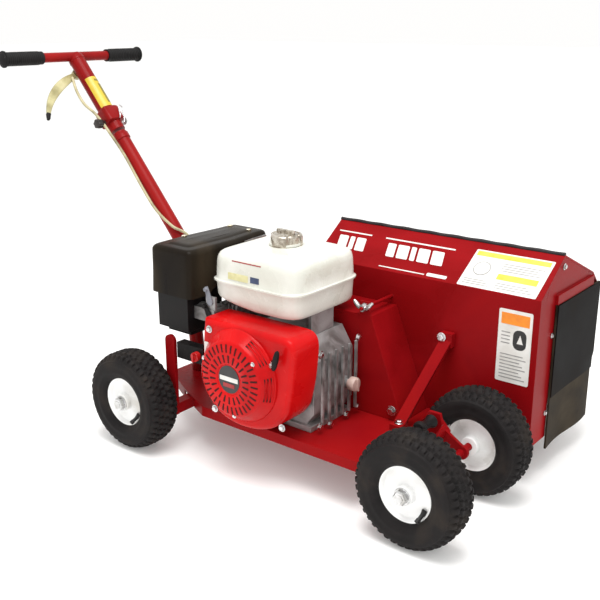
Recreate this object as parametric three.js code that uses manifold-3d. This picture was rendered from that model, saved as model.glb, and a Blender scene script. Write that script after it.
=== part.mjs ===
// Walk-behind lawn edger: an engine on a steel deck drives a toothed cutter disc in a sheet-metal housing.
// Millimetres, +Z up, +X forward, +Y to the operator's left. The origin is on the ground under the machine's middle.
import * as THREE from "three";
import { mergeVertices } from "three/addons/utils/BufferGeometryUtils.js";
import Module from "manifold-3d";

const wasm = await Module();
wasm.setup();

// ---- driving dimensions ----
const GAP = 0.3; // seam kept between neighbouring pieces
const RUNNING = 0.4; // radial room round a turning shaft
const MIDDLE_SHIFT = 23; // brings the middle of the machine over the origin

const TYRE_DIAMETER = 236; // 9 x 3.50-4 pneumatic tyre
const TYRE_WIDTH = 86;
const RIM_DIAMETER = 123;
const RIM_WIDTH = 60;
const RIM_STEEL = 3;
const AXLE_DIAMETER = 16;
const HUB_DIAMETER = 42;
const HUB_LENGTH = 76;
const BEAD_ROOM = 0.8; // tyre and rim have different facet counts
const WHEEL_SIDES = 28;
const RIM_SIDES = 20;

const REAR_AXLE_X = -231;
const REAR_WHEEL_RIGHT_Y = -347;
const REAR_WHEEL_LEFT_Y = 250;
const FRONT_AXLE_X = 511;
const FRONT_WHEEL_RIGHT_Y = -304;
const FRONT_WHEEL_LEFT_Y = -44;
const FRONT_PIVOT_X = 455;
const FRONT_PIVOT_Z = 152;
const PIVOT_PIN_DIAMETER = 20;

const DECK_TOP = 117;
const DECK_PLATE = 6;
const DECK_SKIRT = 24; // depth of the folded edge below the plate
const DECK_RIGHT_Y = -281;
const DECK_FRONT_X = 366;
const DECK_REAR_X = -284;
const DECK_NOSE_X = 440; // tongue between the front wheels

const HOUSING_REAR_X = 15;
const HOUSING_LENGTH = 579;
const HOUSING_BOTTOM = 88;
const HOUSING_WALL_Y = 36;
const HOUSING_WIDTH = 320;
const HOUSING_BEND_Z = 424;
const HOUSING_RIDGE_Y = 144;
const HOUSING_RIDGE_Z = 500;
const HOUSING_EAVE_Z = 392; // far corner, where the hood turns down
const HOUSING_FAR_EDGE_Z = 330;
const SHEET = 4;
const FRONT_STRIP_WIDTH = 84;
const FLAP_THICKNESS = 6;
const FLAP_BOTTOM = 62;
const DEFLECTOR_DROP = 175;
const DEFLECTOR_FLARE = 42;

const CUTTER_X = 222;
const CUTTER_Z = 228;
const CUTTER_Y = 200;
const CUTTER_RADIUS = 182;
const CUTTER_PLATE = 10;
const TOOTH_COUNT = 10;
const TOOTH_HEIGHT = 26;
const SHAFT_DIAMETER = 30;
const BEARING_SIZE = 92;
const BEARING_THICKNESS = 22;
const DRIVEN_PULLEY_RADIUS = 68;

const CRANK_X = 86;
const CRANK_HEIGHT = 131; // above the deck
const CRANK_DIAMETER = 25.4;
const DRIVE_PULLEY_RADIUS = 42;
const PULLEY_Y = -24;
const PULLEY_WIDTH = 22;
const BELT_WIDTH = 11;
const BELT_THICKNESS = 8;
const IDLER_RADIUS = 20;
const IDLER_REST_GAP = 7; // from the slack belt
const IDLER_PIVOT_X = 34;
const IDLER_PIVOT_Z = 152;

const GUARD_Y = -72;
const GUARD_LEFT_X = -10;
const GUARD_TOP_Z = 349;
const GUARD_TOP_RIGHT_X = 251;
const GUARD_FOOT_RIGHT_X = 342;
const GUARD_SHEET = 3;

const HANDLE_LEAN = 40.3; // degrees back from upright
const HANDLE_LINE_X = -6; // where the leaning line would meet the deck
const HANDLE_Y = -117;
const HANDLE_PLATE_X = -240; // foot plate on the deck
const HANDLE_KNEE = [-262, 360]; // X and Z of the tube where it bends towards the plate
const HANDLE_TUBE_RADIUS = 18;
const BEND_AT = 470; // along the leaning line, where it becomes straight
const FOLD_AT = 793;
const HANDLE_LENGTH = 1000;
const UPPER_TUBE_RADIUS = 20;
const TBAR_LENGTH = 433;
const TBAR_RADIUS = 12;
const GRIP_LENGTH = 114;
const GRIP_RADIUS = 17;
const CHEEK = 6;
const CHEEK_RADIUS = 23;
const CABLE_RADIUS = 3.5;

const TANK_LENGTH = 254; // along X, over the seam flange
const TANK_WIDTH = 242;
const TANK_SEAM_Z = 310; // above the deck
const TANK_TOP = 76; // above the seam
const TANK_DROP = 58; // below the seam
const TANK_MIDDLE_X = -17; // from the crank
const TANK_MIDDLE_Y = -145;
const CAP_RADIUS = 38;
const CAP_HEIGHT = 22;

const COVER_LENGTH_X = 132;
const COVER_LENGTH_Y = 286;
const COVER_RIGHT_X = -76;
const COVER_NEAR_Y = -299;
const COVER_TOP_Z = 490;
const COVER_DEEP = 113; // skirt depth over the filter
const COVER_SHALLOW = 52; // skirt depth over the silencer
const COVER_WALL = 3;

// ---- paints and materials ----
const finish = (color, roughness, metalness) => new THREE.MeshStandardMaterial({ color, roughness, metalness });
const frameRed = () => finish(0x8c0a0c, 0.32, 0.15);
const engineRed = () => finish(0xc01014, 0.3, 0.1);
const whitePaint = () => finish(0xf4f4f2, 0.35, 0.05);
const blackPlastic = () => finish(0x17120f, 0.45, 0);
const rubberBlack = () => finish(0x1b1918, 0.8, 0);
const castAlloy = () => finish(0x94908f, 0.45, 0.8);
const zinc = () => finish(0xb9b9b4, 0.3, 0.9);
const darkSteel = () => finish(0x3b3b3e, 0.4, 0.85);

// ---- solid makers ----
// A closed geometry as a manifold solid, and a manifold solid as a geometry.
function solid(geometry) {
  const bare = geometry.clone();
  bare.deleteAttribute("normal");
  bare.deleteAttribute("uv");
  const merged = mergeVertices(bare, 1e-4);
  return new wasm.Manifold(
    new wasm.Mesh({
      numProp: 3,
      vertProperties: merged.attributes.position.array,
      triVerts: new Uint32Array(merged.index.array),
    }),
  );
}

function surface(body) {
  const mesh = body.getMesh();
  const geometry = new THREE.BufferGeometry();
  geometry.setAttribute("position", new THREE.BufferAttribute(mesh.vertProperties, 3));
  geometry.setIndex(new THREE.BufferAttribute(mesh.triVerts, 1));
  geometry.computeVertexNormals();
  return geometry;
}

function weld(...pieces) {
  return surface(pieces.map(solid).reduce((a, b) => a.add(b)));
}

function carve(base, ...tools) {
  return surface(tools.map(solid).reduce((a, b) => a.subtract(b), solid(base)));
}

// A block between two limits on each axis.
function block([x0, x1], [y0, y1], [z0, z1]) {
  const box = new THREE.BoxGeometry(x1 - x0, y1 - y0, z1 - z0);
  return box.translate((x0 + x1) / 2, (y0 + y1) / 2, (z0 + z1) / 2);
}

// Round bars along Y, X and Z.
function barY(radius, [y0, y1], x, z, sides = 20) {
  return new THREE.CylinderGeometry(radius, radius, y1 - y0, sides).translate(x, (y0 + y1) / 2, z);
}

function barX(radius, [x0, x1], y, z, sides = 16) {
  return new THREE.CylinderGeometry(radius, radius, x1 - x0, sides)
    .rotateZ(Math.PI / 2)
    .translate((x0 + x1) / 2, y, z);
}

function barZ(radius, [z0, z1], x, y, sides = 20) {
  return new THREE.CylinderGeometry(radius, radius, z1 - z0, sides)
    .rotateX(Math.PI / 2)
    .translate(x, y, (z0 + z1) / 2);
}

function outline(points) {
  return new THREE.Shape(points.map(([a, b]) => new THREE.Vector2(a, b)));
}

// An outline in the X-Z plane, carried along Y.
function slabY(shape, [y0, y1], options = {}) {
  const geometry = new THREE.ExtrudeGeometry(shape, { depth: y1 - y0, bevelEnabled: false, ...options });
  return geometry.rotateX(Math.PI / 2).translate(0, y1, 0);
}

// An outline in the X-Y plane, carried along Z.
function slabZ(shape, [z0, z1], options = {}) {
  return new THREE.ExtrudeGeometry(shape, { depth: z1 - z0, bevelEnabled: false, ...options }).translate(0, 0, z0);
}

// An outline in the Y-Z plane, carried along X.
function slabX(shape, [x0, x1]) {
  const turn = new THREE.Matrix4().makeBasis(
    new THREE.Vector3(0, 1, 0),
    new THREE.Vector3(0, 0, 1),
    new THREE.Vector3(1, 0, 0),
  );
  const geometry = new THREE.ExtrudeGeometry(shape, { depth: x1 - x0, bevelEnabled: false });
  return geometry.applyMatrix4(turn).translate(x0, 0, 0);
}

// A closed profile of [radius, y] turned about Y.
function turned(profile, sides) {
  const loop = [...profile, profile[0]].map(([r, y]) => new THREE.Vector2(r, y));
  return new THREE.LatheGeometry(loop, sides);
}

// A solid profile of [radius, y] that starts and ends on the axis.
function turnedSolid(profile, sides) {
  return new THREE.LatheGeometry(profile.map(([r, y]) => new THREE.Vector2(r, y)), sides);
}

function roundedRectangle(width, depth, radius, curveX = 0, curveY = 0) {
  const shape = new THREE.Shape();
  const [x0, x1] = [curveX - width / 2, curveX + width / 2];
  const [y0, y1] = [curveY - depth / 2, curveY + depth / 2];
  shape.moveTo(x0 + radius, y0);
  shape.lineTo(x1 - radius, y0);
  shape.absarc(x1 - radius, y0 + radius, radius, -Math.PI / 2, 0);
  shape.lineTo(x1, y1 - radius);
  shape.absarc(x1 - radius, y1 - radius, radius, 0, Math.PI / 2);
  shape.lineTo(x0 + radius, y1);
  shape.absarc(x0 + radius, y1 - radius, radius, Math.PI / 2, Math.PI);
  shape.lineTo(x0, y0 + radius);
  shape.absarc(x0 + radius, y0 + radius, radius, Math.PI, 1.5 * Math.PI);
  return shape;
}

// A round tube along a curve through points.
function cordAlong(points, radius, steps) {
  const path = new THREE.CatmullRomCurve3(points.map((p) => new THREE.Vector3(...p)));
  const section = new THREE.Shape().absarc(0, 0, radius, 0, 2 * Math.PI);
  return new THREE.ExtrudeGeometry(section, { steps, extrudePath: path, curveSegments: 4, bevelEnabled: false });
}

const machine = new THREE.Group();
machine.position.x = MIDDLE_SHIFT;
function place(parent, name, geometry, material, position = [0, 0, 0]) {
  const mesh = new THREE.Mesh(geometry, material);
  mesh.name = name;
  mesh.position.set(...position);
  parent.add(mesh);
  return mesh;
}

// ---- wheels ----
const tyreRadius = TYRE_DIAMETER / 2;
const barrelRadius = RIM_DIAMETER / 2 - 14;
const hubBore = AXLE_DIAMETER / 2 + RUNNING;

// Pressed-steel rim: hub, web and a flanged barrel that the tyre's beads sit on.
function rimShape() {
  const [hub, barrel, lip] = [HUB_DIAMETER / 2, barrelRadius, RIM_DIAMETER / 2];
  const [halfHub, half] = [HUB_LENGTH / 2, RIM_WIDTH / 2];
  const web = half - 12;
  return turned(
    [
      [hubBore, -halfHub], [hub, -halfHub], [hub, web - RIM_STEEL], [barrel - RIM_STEEL, web - RIM_STEEL],
      [barrel - RIM_STEEL, -half], [lip, -half], [lip, RIM_STEEL - half], [barrel, RIM_STEEL - half],
      [barrel, half - RIM_STEEL], [lip, half - RIM_STEEL], [lip, half], [barrel - RIM_STEEL, half],
      [barrel - RIM_STEEL, web], [hub, web], [hub, halfHub], [hubBore, halfHub],
    ],
    RIM_SIDES,
  );
}

// Tyre: two beads, bulging side walls and a nearly flat tread.
function tyreShape() {
  const bead = barrelRadius + BEAD_ROOM;
  const seat = RIM_WIDTH / 2 - RIM_STEEL - GAP;
  const lip = RIM_DIAMETER / 2 + 2;
  const half = TYRE_WIDTH / 2;
  const wall = [
    [bead, seat], [lip, seat], [lip + 8, half * 0.84], [tyreRadius * 0.72, half], [tyreRadius * 0.88, half * 0.96],
    [tyreRadius * 0.965, half * 0.78], [tyreRadius, half * 0.45],
  ];
  return turned([...wall.map(([r, y]) => [r, -y]), ...wall.reverse()], WHEEL_SIDES);
}

function wheel(name, x, y, outward, parent) {
  const group = new THREE.Group();
  group.position.set(x, y, tyreRadius);
  group.rotation.x = outward > 0 ? 0 : Math.PI;
  place(group, `${name}_tyre`, tyreShape(), rubberBlack());
  place(group, `${name}_rim`, rimShape(), whitePaint());
  parent.add(group);
}

wheel("rear_right", REAR_AXLE_X, REAR_WHEEL_RIGHT_Y, -1, machine);
wheel("rear_left", REAR_AXLE_X, REAR_WHEEL_LEFT_Y, 1, machine);
wheel("front_right", FRONT_AXLE_X, FRONT_WHEEL_RIGHT_Y, -1, machine);
wheel("front_left", FRONT_AXLE_X, FRONT_WHEEL_LEFT_Y, 1, machine);

// ---- deck and rear axle ----
const halfTyre = TYRE_WIDTH / 2;
const halfHub = HUB_LENGTH / 2;
const NUT_LENGTH = 12;
const rearBracketX = -150;
const rearBracketY = -296;
const bracketPlate = 8;
const leftBracketY = REAR_WHEEL_LEFT_Y - 54;
const crossTube = 26;
const deckUnder = DECK_TOP - DECK_PLATE;

// Folded deck: a plate that narrows to the rear, with a skirt and two ears for the front pivot.
const earY = [-232, -104];
const earPlate = 8;
const tongueY = [-250, -92];
function deckShape() {
  const plan = [
    [DECK_REAR_X, -173], [-185, -228], [-72, DECK_RIGHT_Y], [DECK_FRONT_X, DECK_RIGHT_Y], [DECK_FRONT_X, tongueY[0]],
    [DECK_NOSE_X, tongueY[0]], [DECK_NOSE_X, tongueY[1]], [DECK_FRONT_X, tongueY[1]],
    [DECK_FRONT_X, HOUSING_WALL_Y - GAP], [DECK_REAR_X, HOUSING_WALL_Y - GAP],
  ];
  const plate = slabZ(outline(plan), [deckUnder, DECK_TOP]);
  const inner = [
    [DECK_REAR_X + SHEET, -173 + SHEET], [-183, -228 + SHEET], [-70, DECK_RIGHT_Y + SHEET],
    [DECK_FRONT_X - SHEET, DECK_RIGHT_Y + SHEET], [DECK_FRONT_X - SHEET, HOUSING_WALL_Y], [DECK_REAR_X + SHEET, HOUSING_WALL_Y],
  ];
  const outer = [
    [DECK_REAR_X, -173], [-185, -228], [-72, DECK_RIGHT_Y], [DECK_FRONT_X, DECK_RIGHT_Y],
    [DECK_FRONT_X, HOUSING_WALL_Y - GAP], [DECK_REAR_X, HOUSING_WALL_Y - GAP],
  ];
  const skirtHeights = [DECK_TOP - DECK_SKIRT, deckUnder + 1];
  const skirt = carve(slabZ(outline(outer), skirtHeights), slabZ(outline(inner), [0, DECK_TOP]));
  const notch = block([rearBracketX - 30, rearBracketX + 30], [-310, HOUSING_WALL_Y + 1], [0, deckUnder - GAP]);
  const ears = earY.map((y) => {
    const shape = outline([
      [DECK_NOSE_X - 80, deckUnder], [FRONT_PIVOT_X + 16, deckUnder],
      [FRONT_PIVOT_X + 22, FRONT_PIVOT_Z], [FRONT_PIVOT_X, FRONT_PIVOT_Z + 22], [DECK_NOSE_X - 60, DECK_TOP + 10],
    ]);
    return slabY(shape, [y - earPlate / 2, y + earPlate / 2]);
  });
  const bore = barY(PIVOT_PIN_DIAMETER / 2 + GAP, [earY[0] - 20, earY[1] + 20], FRONT_PIVOT_X, FRONT_PIVOT_Z, 24);
  return carve(weld(plate, carve(skirt, notch), ...ears), bore);
}
place(machine, "deck_plate", deckShape(), frameRed());

// Axle end with a nut, clear of the hub.
function axleEnd(x, z, [inner, outer]) {
  const out = Math.sign(outer - inner);
  const tip = outer + out * (GAP + NUT_LENGTH);
  const nut = [outer + out * GAP, tip - out * 2];
  const span = (ends) => ends.sort((p, q) => p - q);
  return [barY(AXLE_DIAMETER / 2, span([inner, tip]), x, z, 24), barY(13, span(nut), x, z, 6)];
}

// Rear axle frame: a square tube under the deck with an upright bracket welded to each end.
// Each bracket is a bar with a round top, and an ear with a stub axle for its wheel.
const tubeZ = [deckUnder - GAP - crossTube, deckUnder - GAP];
const tubeX = [rearBracketX - crossTube / 2, rearBracketX + crossTube / 2];
const BRACKET_TOP = 281;
const BAR_HALF = 15;
const EAR_RADIUS = 22;
function bracketShape(y, top) {
  const shape = new THREE.Shape();
  shape.moveTo(rearBracketX + BAR_HALF, tubeZ[0]);
  shape.lineTo(rearBracketX + BAR_HALF, top - BAR_HALF);
  shape.absarc(rearBracketX, top - BAR_HALF, BAR_HALF, 0, Math.PI);
  shape.lineTo(rearBracketX - BAR_HALF, tyreRadius + EAR_RADIUS);
  shape.lineTo(REAR_AXLE_X, tyreRadius + EAR_RADIUS);
  shape.absarc(REAR_AXLE_X, tyreRadius, EAR_RADIUS, Math.PI / 2, 1.5 * Math.PI);
  shape.lineTo(rearBracketX - BAR_HALF, tubeZ[0]);
  return slabY(shape, [y - bracketPlate / 2, y + bracketPlate / 2], { curveSegments: 6 });
}
function rearFrameShape() {
  const tube = block(tubeX, [rearBracketY, leftBracketY], tubeZ);
  const right = bracketShape(rearBracketY, BRACKET_TOP);
  const left = bracketShape(leftBracketY, tyreRadius + 60);
  const rightStub = axleEnd(REAR_AXLE_X, tyreRadius, [rearBracketY, REAR_WHEEL_RIGHT_Y - halfHub]);
  const leftStub = axleEnd(REAR_AXLE_X, tyreRadius, [leftBracketY, REAR_WHEEL_LEFT_Y + halfHub]);
  return weld(tube, right, left, ...rightStub, ...leftStub);
}
place(machine, "rear_axle_frame", rearFrameShape(), frameRed());

// ---- front axle: a swinging arm that sets the cutting depth ----
const armY = [earY[0] + earPlate / 2 + GAP + 0.5, earY[1] - earPlate / 2 - GAP - 0.5];
const LOCK_Y = -160;
const LOCK_X = 470;
const LOCK_Z = 198;
const LOCK_PIN_RADIUS = 6;
const lockPlate = 8;

function frontAxleShape() {
  const sleeve = barY(PIVOT_PIN_DIAMETER / 2 + 8, armY, FRONT_PIVOT_X, FRONT_PIVOT_Z, 24);
  const plateShape = new THREE.Shape();
  plateShape.moveTo(FRONT_PIVOT_X, FRONT_PIVOT_Z + 16);
  plateShape.lineTo(FRONT_AXLE_X, tyreRadius + 16);
  plateShape.absarc(FRONT_AXLE_X, tyreRadius, 16, Math.PI / 2, -Math.PI / 2, true);
  plateShape.lineTo(FRONT_PIVOT_X, FRONT_PIVOT_Z - 16);
  const arms = [armY[0], armY[1] - lockPlate].map((y) => slabY(plateShape, [y, y + lockPlate], { curveSegments: 6 }));
  const lug = slabY(
    outline([
      [FRONT_PIVOT_X - 14, FRONT_PIVOT_Z + 5], [FRONT_PIVOT_X + 16, FRONT_PIVOT_Z + 5],
      [LOCK_X + 20, LOCK_Z - 6], [LOCK_X + 14, LOCK_Z + 16], [LOCK_X - 12, LOCK_Z + 16],
    ]),
    [LOCK_Y - lockPlate / 2, LOCK_Y + lockPlate / 2],
  );
  const middle = (armY[0] + armY[1]) / 2;
  const axle = [
    ...axleEnd(FRONT_AXLE_X, tyreRadius, [middle, FRONT_WHEEL_RIGHT_Y - halfHub]),
    ...axleEnd(FRONT_AXLE_X, tyreRadius, [middle, FRONT_WHEEL_LEFT_Y + halfHub]),
  ];
  const pivotBore = barY(PIVOT_PIN_DIAMETER / 2 + RUNNING, [-400, 100], FRONT_PIVOT_X, FRONT_PIVOT_Z, 24);
  const lockBore = barY(LOCK_PIN_RADIUS + RUNNING, [-400, 100], LOCK_X, LOCK_Z, 16);
  return carve(weld(sleeve, ...arms, lug, ...axle), pivotBore, lockBore);
}
place(machine, "front_axle_arm", frontAxleShape(), frameRed());
place(
  machine,
  "front_pivot_pin",
  weld(
    barY(PIVOT_PIN_DIAMETER / 2, [earY[0] - 12, earY[1] + 12], FRONT_PIVOT_X, FRONT_PIVOT_Z, 24),
    barY(16, [earY[0] - 14, earY[0] - earPlate / 2 - GAP], FRONT_PIVOT_X, FRONT_PIVOT_Z, 6),
    barY(16, [earY[1] + earPlate / 2 + GAP, earY[1] + 14], FRONT_PIVOT_X, FRONT_PIVOT_Z, 6),
  ),
  zinc(),
);

// Depth lock: a pin with a spool-shaped grip, pulled sideways to free the arm.
function lockPinShape() {
  const grip = [
    [0, -62], [13, -62], [15, -56], [9, -46], [9, -24], [14, -16], [12, -10], [LOCK_PIN_RADIUS, -10],
    [LOCK_PIN_RADIUS, 12], [0, 12],
  ];
  return turnedSolid(grip, 16);
}
place(machine, "depth_lock_pin", lockPinShape(), blackPlastic(), [LOCK_X, LOCK_Y, LOCK_Z]);

// ---- cutter housing ----
const housingFar = HOUSING_WALL_Y + HOUSING_WIDTH;
const housingFront = HOUSING_REAR_X + HOUSING_LENGTH;
const stripEdge = HOUSING_WALL_Y + FRONT_STRIP_WIDTH;

// Points of the hood's section, moved in by the sheet's thickness.
function hoodLine(inset) {
  const near = HOUSING_WALL_Y + inset;
  const far = housingFar - inset;
  return [
    [near, HOUSING_BEND_Z - inset * 0.3], [HOUSING_RIDGE_Y, HOUSING_RIDGE_Z - inset * 1.2],
    [far - 34 + inset * 0.4, HOUSING_BEND_Z - inset * 1.1], [far, HOUSING_EAVE_Z - inset * 0.4],
  ];
}

const FLAP_TOP = HOUSING_BEND_Z - 6;
const flapY = [stripEdge - 6, housingFar - 2];
const flapX = [housingFront + GAP, housingFront + GAP + FLAP_THICKNESS];
const STRIP_DEPTH = 22;
const studX = GUARD_TOP_RIGHT_X - 16;
const studZ = GUARD_TOP_Z + 18;
const STUD_RADIUS = 4;

// Bent hood with its end plates, the flap's clamp strip and the studs for the idler and the guard.
function housingShape() {
  const outer = [[HOUSING_WALL_Y, HOUSING_BOTTOM], ...hoodLine(0), [housingFar, HOUSING_FAR_EDGE_Z]];
  const inner = [[housingFar - SHEET, HOUSING_FAR_EDGE_Z], ...hoodLine(SHEET).reverse(), [HOUSING_WALL_Y + SHEET, HOUSING_BOTTOM]];
  const sheet = slabX(outline([...outer, ...inner]), [HOUSING_REAR_X, housingFront]);
  const lap = SHEET / 4; // end plates are let into the hood by this much
  const endOutline = outline([
    [HOUSING_WALL_Y + lap, HOUSING_BOTTOM + lap], ...hoodLine(lap), [housingFar - lap, HOUSING_BOTTOM + lap],
  ]);
  const rearPlate = slabX(endOutline, [HOUSING_REAR_X + lap, HOUSING_REAR_X + lap + SHEET]);
  const mouth = block([0, 700], [stripEdge, housingFar - SHEET * 2], [0, HOUSING_BEND_Z - 18]);
  const frontPlate = carve(slabX(endOutline, [housingFront - lap - SHEET, housingFront - lap]), mouth);
  const clampStrip = block([housingFront - SHEET, flapX[1] - 1], [flapY[0], housingFar - 40], [FLAP_TOP - STRIP_DEPTH + 1, FLAP_TOP]);
  const guardStud = barY(STUD_RADIUS, [GUARD_Y - 18, HOUSING_WALL_Y + 1], studX, studZ, 12);
  const idlerStud = barY(8, [-58, HOUSING_WALL_Y + 1], IDLER_PIVOT_X, IDLER_PIVOT_Z, 16);
  const shaftHole = barY(SHAFT_DIAMETER / 2 + 6, [0, 60], CUTTER_X, CUTTER_Z, 24);
  return carve(weld(sheet, rearPlate, frontPlate, clampStrip, guardStud, idlerStud), shaftHole);
}
place(machine, "cutter_housing", housingShape(), frameRed());

// Rubber flap over the front mouth, hung from the clamp strip on the housing.
place(machine, "front_flap", block(flapX, flapY, [FLAP_BOTTOM, FLAP_TOP - STRIP_DEPTH]), rubberBlack());
// Discharge deflector: hinged along the far edge, flared outwards.
const hingeY = housingFar + 8;
const hingeZ = HOUSING_FAR_EDGE_Z + 4;
const HINGE_KNUCKLE = 7;
const HINGE_ROD = 3;
const KNUCKLES = 5;
const knuckleLength = (HOUSING_LENGTH - 60) / KNUCKLES;
function deflectorShape() {
  const drop = hingeZ - DEFLECTOR_DROP;
  const top = hingeZ - HINGE_KNUCKLE - 1;
  const shape = outline([
    [hingeY - 2, top], [hingeY + 2, top], [housingFar + DEFLECTOR_FLARE + SHEET, drop], [housingFar + DEFLECTOR_FLARE, drop],
  ]);
  const panel = slabX(shape, [HOUSING_REAR_X + 20, housingFront - 20]);
  const knuckles = [];
  for (let i = 0; i < KNUCKLES; i += 2) {
    const x0 = HOUSING_REAR_X + 30 + i * knuckleLength;
    const span = [x0, x0 + knuckleLength - 2];
    knuckles.push(barX(HINGE_KNUCKLE, span, hingeY, hingeZ, 12), block(span, [hingeY - 1.5, hingeY + 1.5], [top - 2, hingeZ - 3]));
  }
  const rodBore = barX(HINGE_ROD + RUNNING, [0, 700], hingeY, hingeZ, 12);
  return carve(weld(panel, ...knuckles), rodBore);
}
place(machine, "side_deflector", deflectorShape(), frameRed());

// Hinge rod with its fixed knuckles, riveted to the hood.
function hingeRodShape() {
  const rod = barX(HINGE_ROD, [HOUSING_REAR_X + 24, housingFront - 24], hingeY, hingeZ, 12);
  const knuckles = [];
  for (let i = 1; i < KNUCKLES; i += 2) {
    const x0 = HOUSING_REAR_X + 30 + i * knuckleLength;
    const span = [x0 + 1, x0 + knuckleLength - 3];
    knuckles.push(barX(HINGE_KNUCKLE, span, hingeY, hingeZ, 12));
    knuckles.push(block(span, [housingFar + GAP, hingeY - 2], [hingeZ, hingeZ + 40]));
  }
  return weld(rod, ...knuckles);
}
place(machine, "deflector_hinge", hingeRodShape(), darkSteel());

// ---- cutter shaft, disc and bearings ----
function cutterDiscShape() {
  const shape = new THREE.Shape();
  const step = (2 * Math.PI) / TOOTH_COUNT;
  const root = CUTTER_RADIUS - TOOTH_HEIGHT;
  for (let i = 0; i < TOOTH_COUNT; i++) {
    const a = i * step;
    const at = (r, angle) => [r * Math.cos(angle), r * Math.sin(angle)];
    if (i === 0) shape.moveTo(...at(root, a));
    shape.lineTo(...at(CUTTER_RADIUS, a + 0.02));
    shape.lineTo(...at(CUTTER_RADIUS - 3, a + 0.13));
    shape.lineTo(...at(root, a + 0.24));
    shape.lineTo(...at(root, a + step * 0.7));
    if (i < TOOTH_COUNT - 1) shape.lineTo(...at(root, a + step));
  }
  const plate = slabY(shape, [-CUTTER_PLATE / 2, CUTTER_PLATE / 2]);
  const hub = barY(34, [-24, 24], 0, 0, 24);
  return carve(weld(plate, hub), barY(SHAFT_DIAMETER / 2 + GAP, [-60, 60], 0, 0, 24));
}
place(machine, "cutter_disc", cutterDiscShape(), darkSteel(), [CUTTER_X, CUTTER_Y, CUTTER_Z]);

const shaftEnds = [PULLEY_Y - PULLEY_WIDTH / 2 - 8, CUTTER_Y + 36];
place(
  machine,
  "cutter_shaft",
  weld(
    barY(SHAFT_DIAMETER / 2, shaftEnds, CUTTER_X, CUTTER_Z, 24),
    barY(24, [CUTTER_Y + 24 + GAP, CUTTER_Y + 34], CUTTER_X, CUTTER_Z, 6),
  ),
  darkSteel(),
);

function bearingShape() {
  const flange = slabY(roundedRectangle(BEARING_SIZE, BEARING_SIZE, 14), [0, BEARING_THICKNESS / 2], { curveSegments: 3 });
  const boss = barY(32, [0, BEARING_THICKNESS], 0, 0, 24);
  return carve(weld(flange, boss), barY(SHAFT_DIAMETER / 2 + RUNNING, [-5, 60], 0, 0, 24));
}
place(machine, "cutter_bearing_inner", bearingShape(), castAlloy(), [CUTTER_X, HOUSING_WALL_Y + SHEET + GAP, CUTTER_Z]);
const outerBearing = place(machine, "cutter_bearing_outer", bearingShape(), castAlloy(), [
  CUTTER_X,
  HOUSING_WALL_Y - GAP,
  CUTTER_Z,
]);
outerBearing.rotation.z = Math.PI;

// ---- belt drive ----
const crankZ = DECK_TOP + CRANK_HEIGHT;
function pulleyShape(radius, bore, sides) {
  const half = PULLEY_WIDTH / 2;
  const groove = BELT_WIDTH / 2 + 0.6;
  const floor = radius - BELT_THICKNESS - 1;
  return turned(
    [[bore, -half], [radius, -half], [radius, -groove - 1], [floor, -groove], [floor, groove], [radius, groove + 1], [radius, half], [bore, half]],
    sides,
  );
}
place(machine, "driven_pulley", pulleyShape(DRIVEN_PULLEY_RADIUS, SHAFT_DIAMETER / 2 + GAP, 28), darkSteel(), [
  CUTTER_X,
  PULLEY_Y,
  CUTTER_Z,
]);
place(machine, "drive_pulley", pulleyShape(DRIVE_PULLEY_RADIUS, CRANK_DIAMETER / 2 + GAP, 24), darkSteel(), [
  CRANK_X,
  PULLEY_Y,
  crankZ,
]);

// Belt loop: two arcs joined by the outer tangents of two circles.
const beltSpan = Math.hypot(CUTTER_X - CRANK_X, CUTTER_Z - crankZ);
const beltTilt = Math.atan2(CUTTER_Z - crankZ, CUTTER_X - CRANK_X);
function beltLoop(offset) {
  const [small, large] = [DRIVE_PULLEY_RADIUS - offset, DRIVEN_PULLEY_RADIUS - offset];
  const spread = Math.acos((small - large) / beltSpan);
  const shape = new THREE.Path();
  shape.absarc(0, 0, small, spread, 2 * Math.PI - spread);
  shape.absarc(beltSpan, 0, large, -spread, spread);
  return shape;
}
function beltShape() {
  const loop = new THREE.Shape(beltLoop(0).getPoints(9));
  loop.holes.push(new THREE.Path(beltLoop(BELT_THICKNESS - GAP * 2).getPoints(9).reverse()));
  const band = slabY(loop, [-BELT_WIDTH / 2, BELT_WIDTH / 2]);
  return band.rotateY(-beltTilt);
}
place(machine, "v_belt", beltShape(), rubberBlack(), [CRANK_X, PULLEY_Y, crankZ]);

// Idler: an arm below the slack run, with a flat pulley that tightens the belt.
const slackAngle = beltTilt - Math.PI / 2 - Math.asin((DRIVEN_PULLEY_RADIUS - DRIVE_PULLEY_RADIUS) / beltSpan);
const idlerReach = (DRIVE_PULLEY_RADIUS + DRIVEN_PULLEY_RADIUS) / 2 + IDLER_RADIUS + IDLER_REST_GAP;
const idlerX = (CRANK_X + CUTTER_X) / 2 + idlerReach * Math.cos(slackAngle);
const idlerZ = (crankZ + CUTTER_Z) / 2 + idlerReach * Math.sin(slackAngle);
const idlerArmY = [PULLEY_Y - 26, PULLEY_Y - 20];
function idlerArmShape() {
  const angle = Math.atan2(idlerZ - IDLER_PIVOT_Z, idlerX - IDLER_PIVOT_X);
  const length = Math.hypot(idlerX - IDLER_PIVOT_X, idlerZ - IDLER_PIVOT_Z);
  const link = new THREE.Shape();
  link.absarc(0, 0, 15, Math.PI / 2, 1.5 * Math.PI);
  link.absarc(length, 0, 11, -Math.PI / 2, Math.PI / 2);
  const arm = slabY(link, [0, 6], { curveSegments: 5 });
  arm.rotateY(-angle).translate(IDLER_PIVOT_X, idlerArmY[0], IDLER_PIVOT_Z);
  const stud = barY(5, [idlerArmY[0], PULLEY_Y + 10], idlerX, idlerZ, 12);
  return carve(weld(arm, stud), barY(8 + RUNNING, [-90, 0], IDLER_PIVOT_X, IDLER_PIVOT_Z, 16));
}
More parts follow.
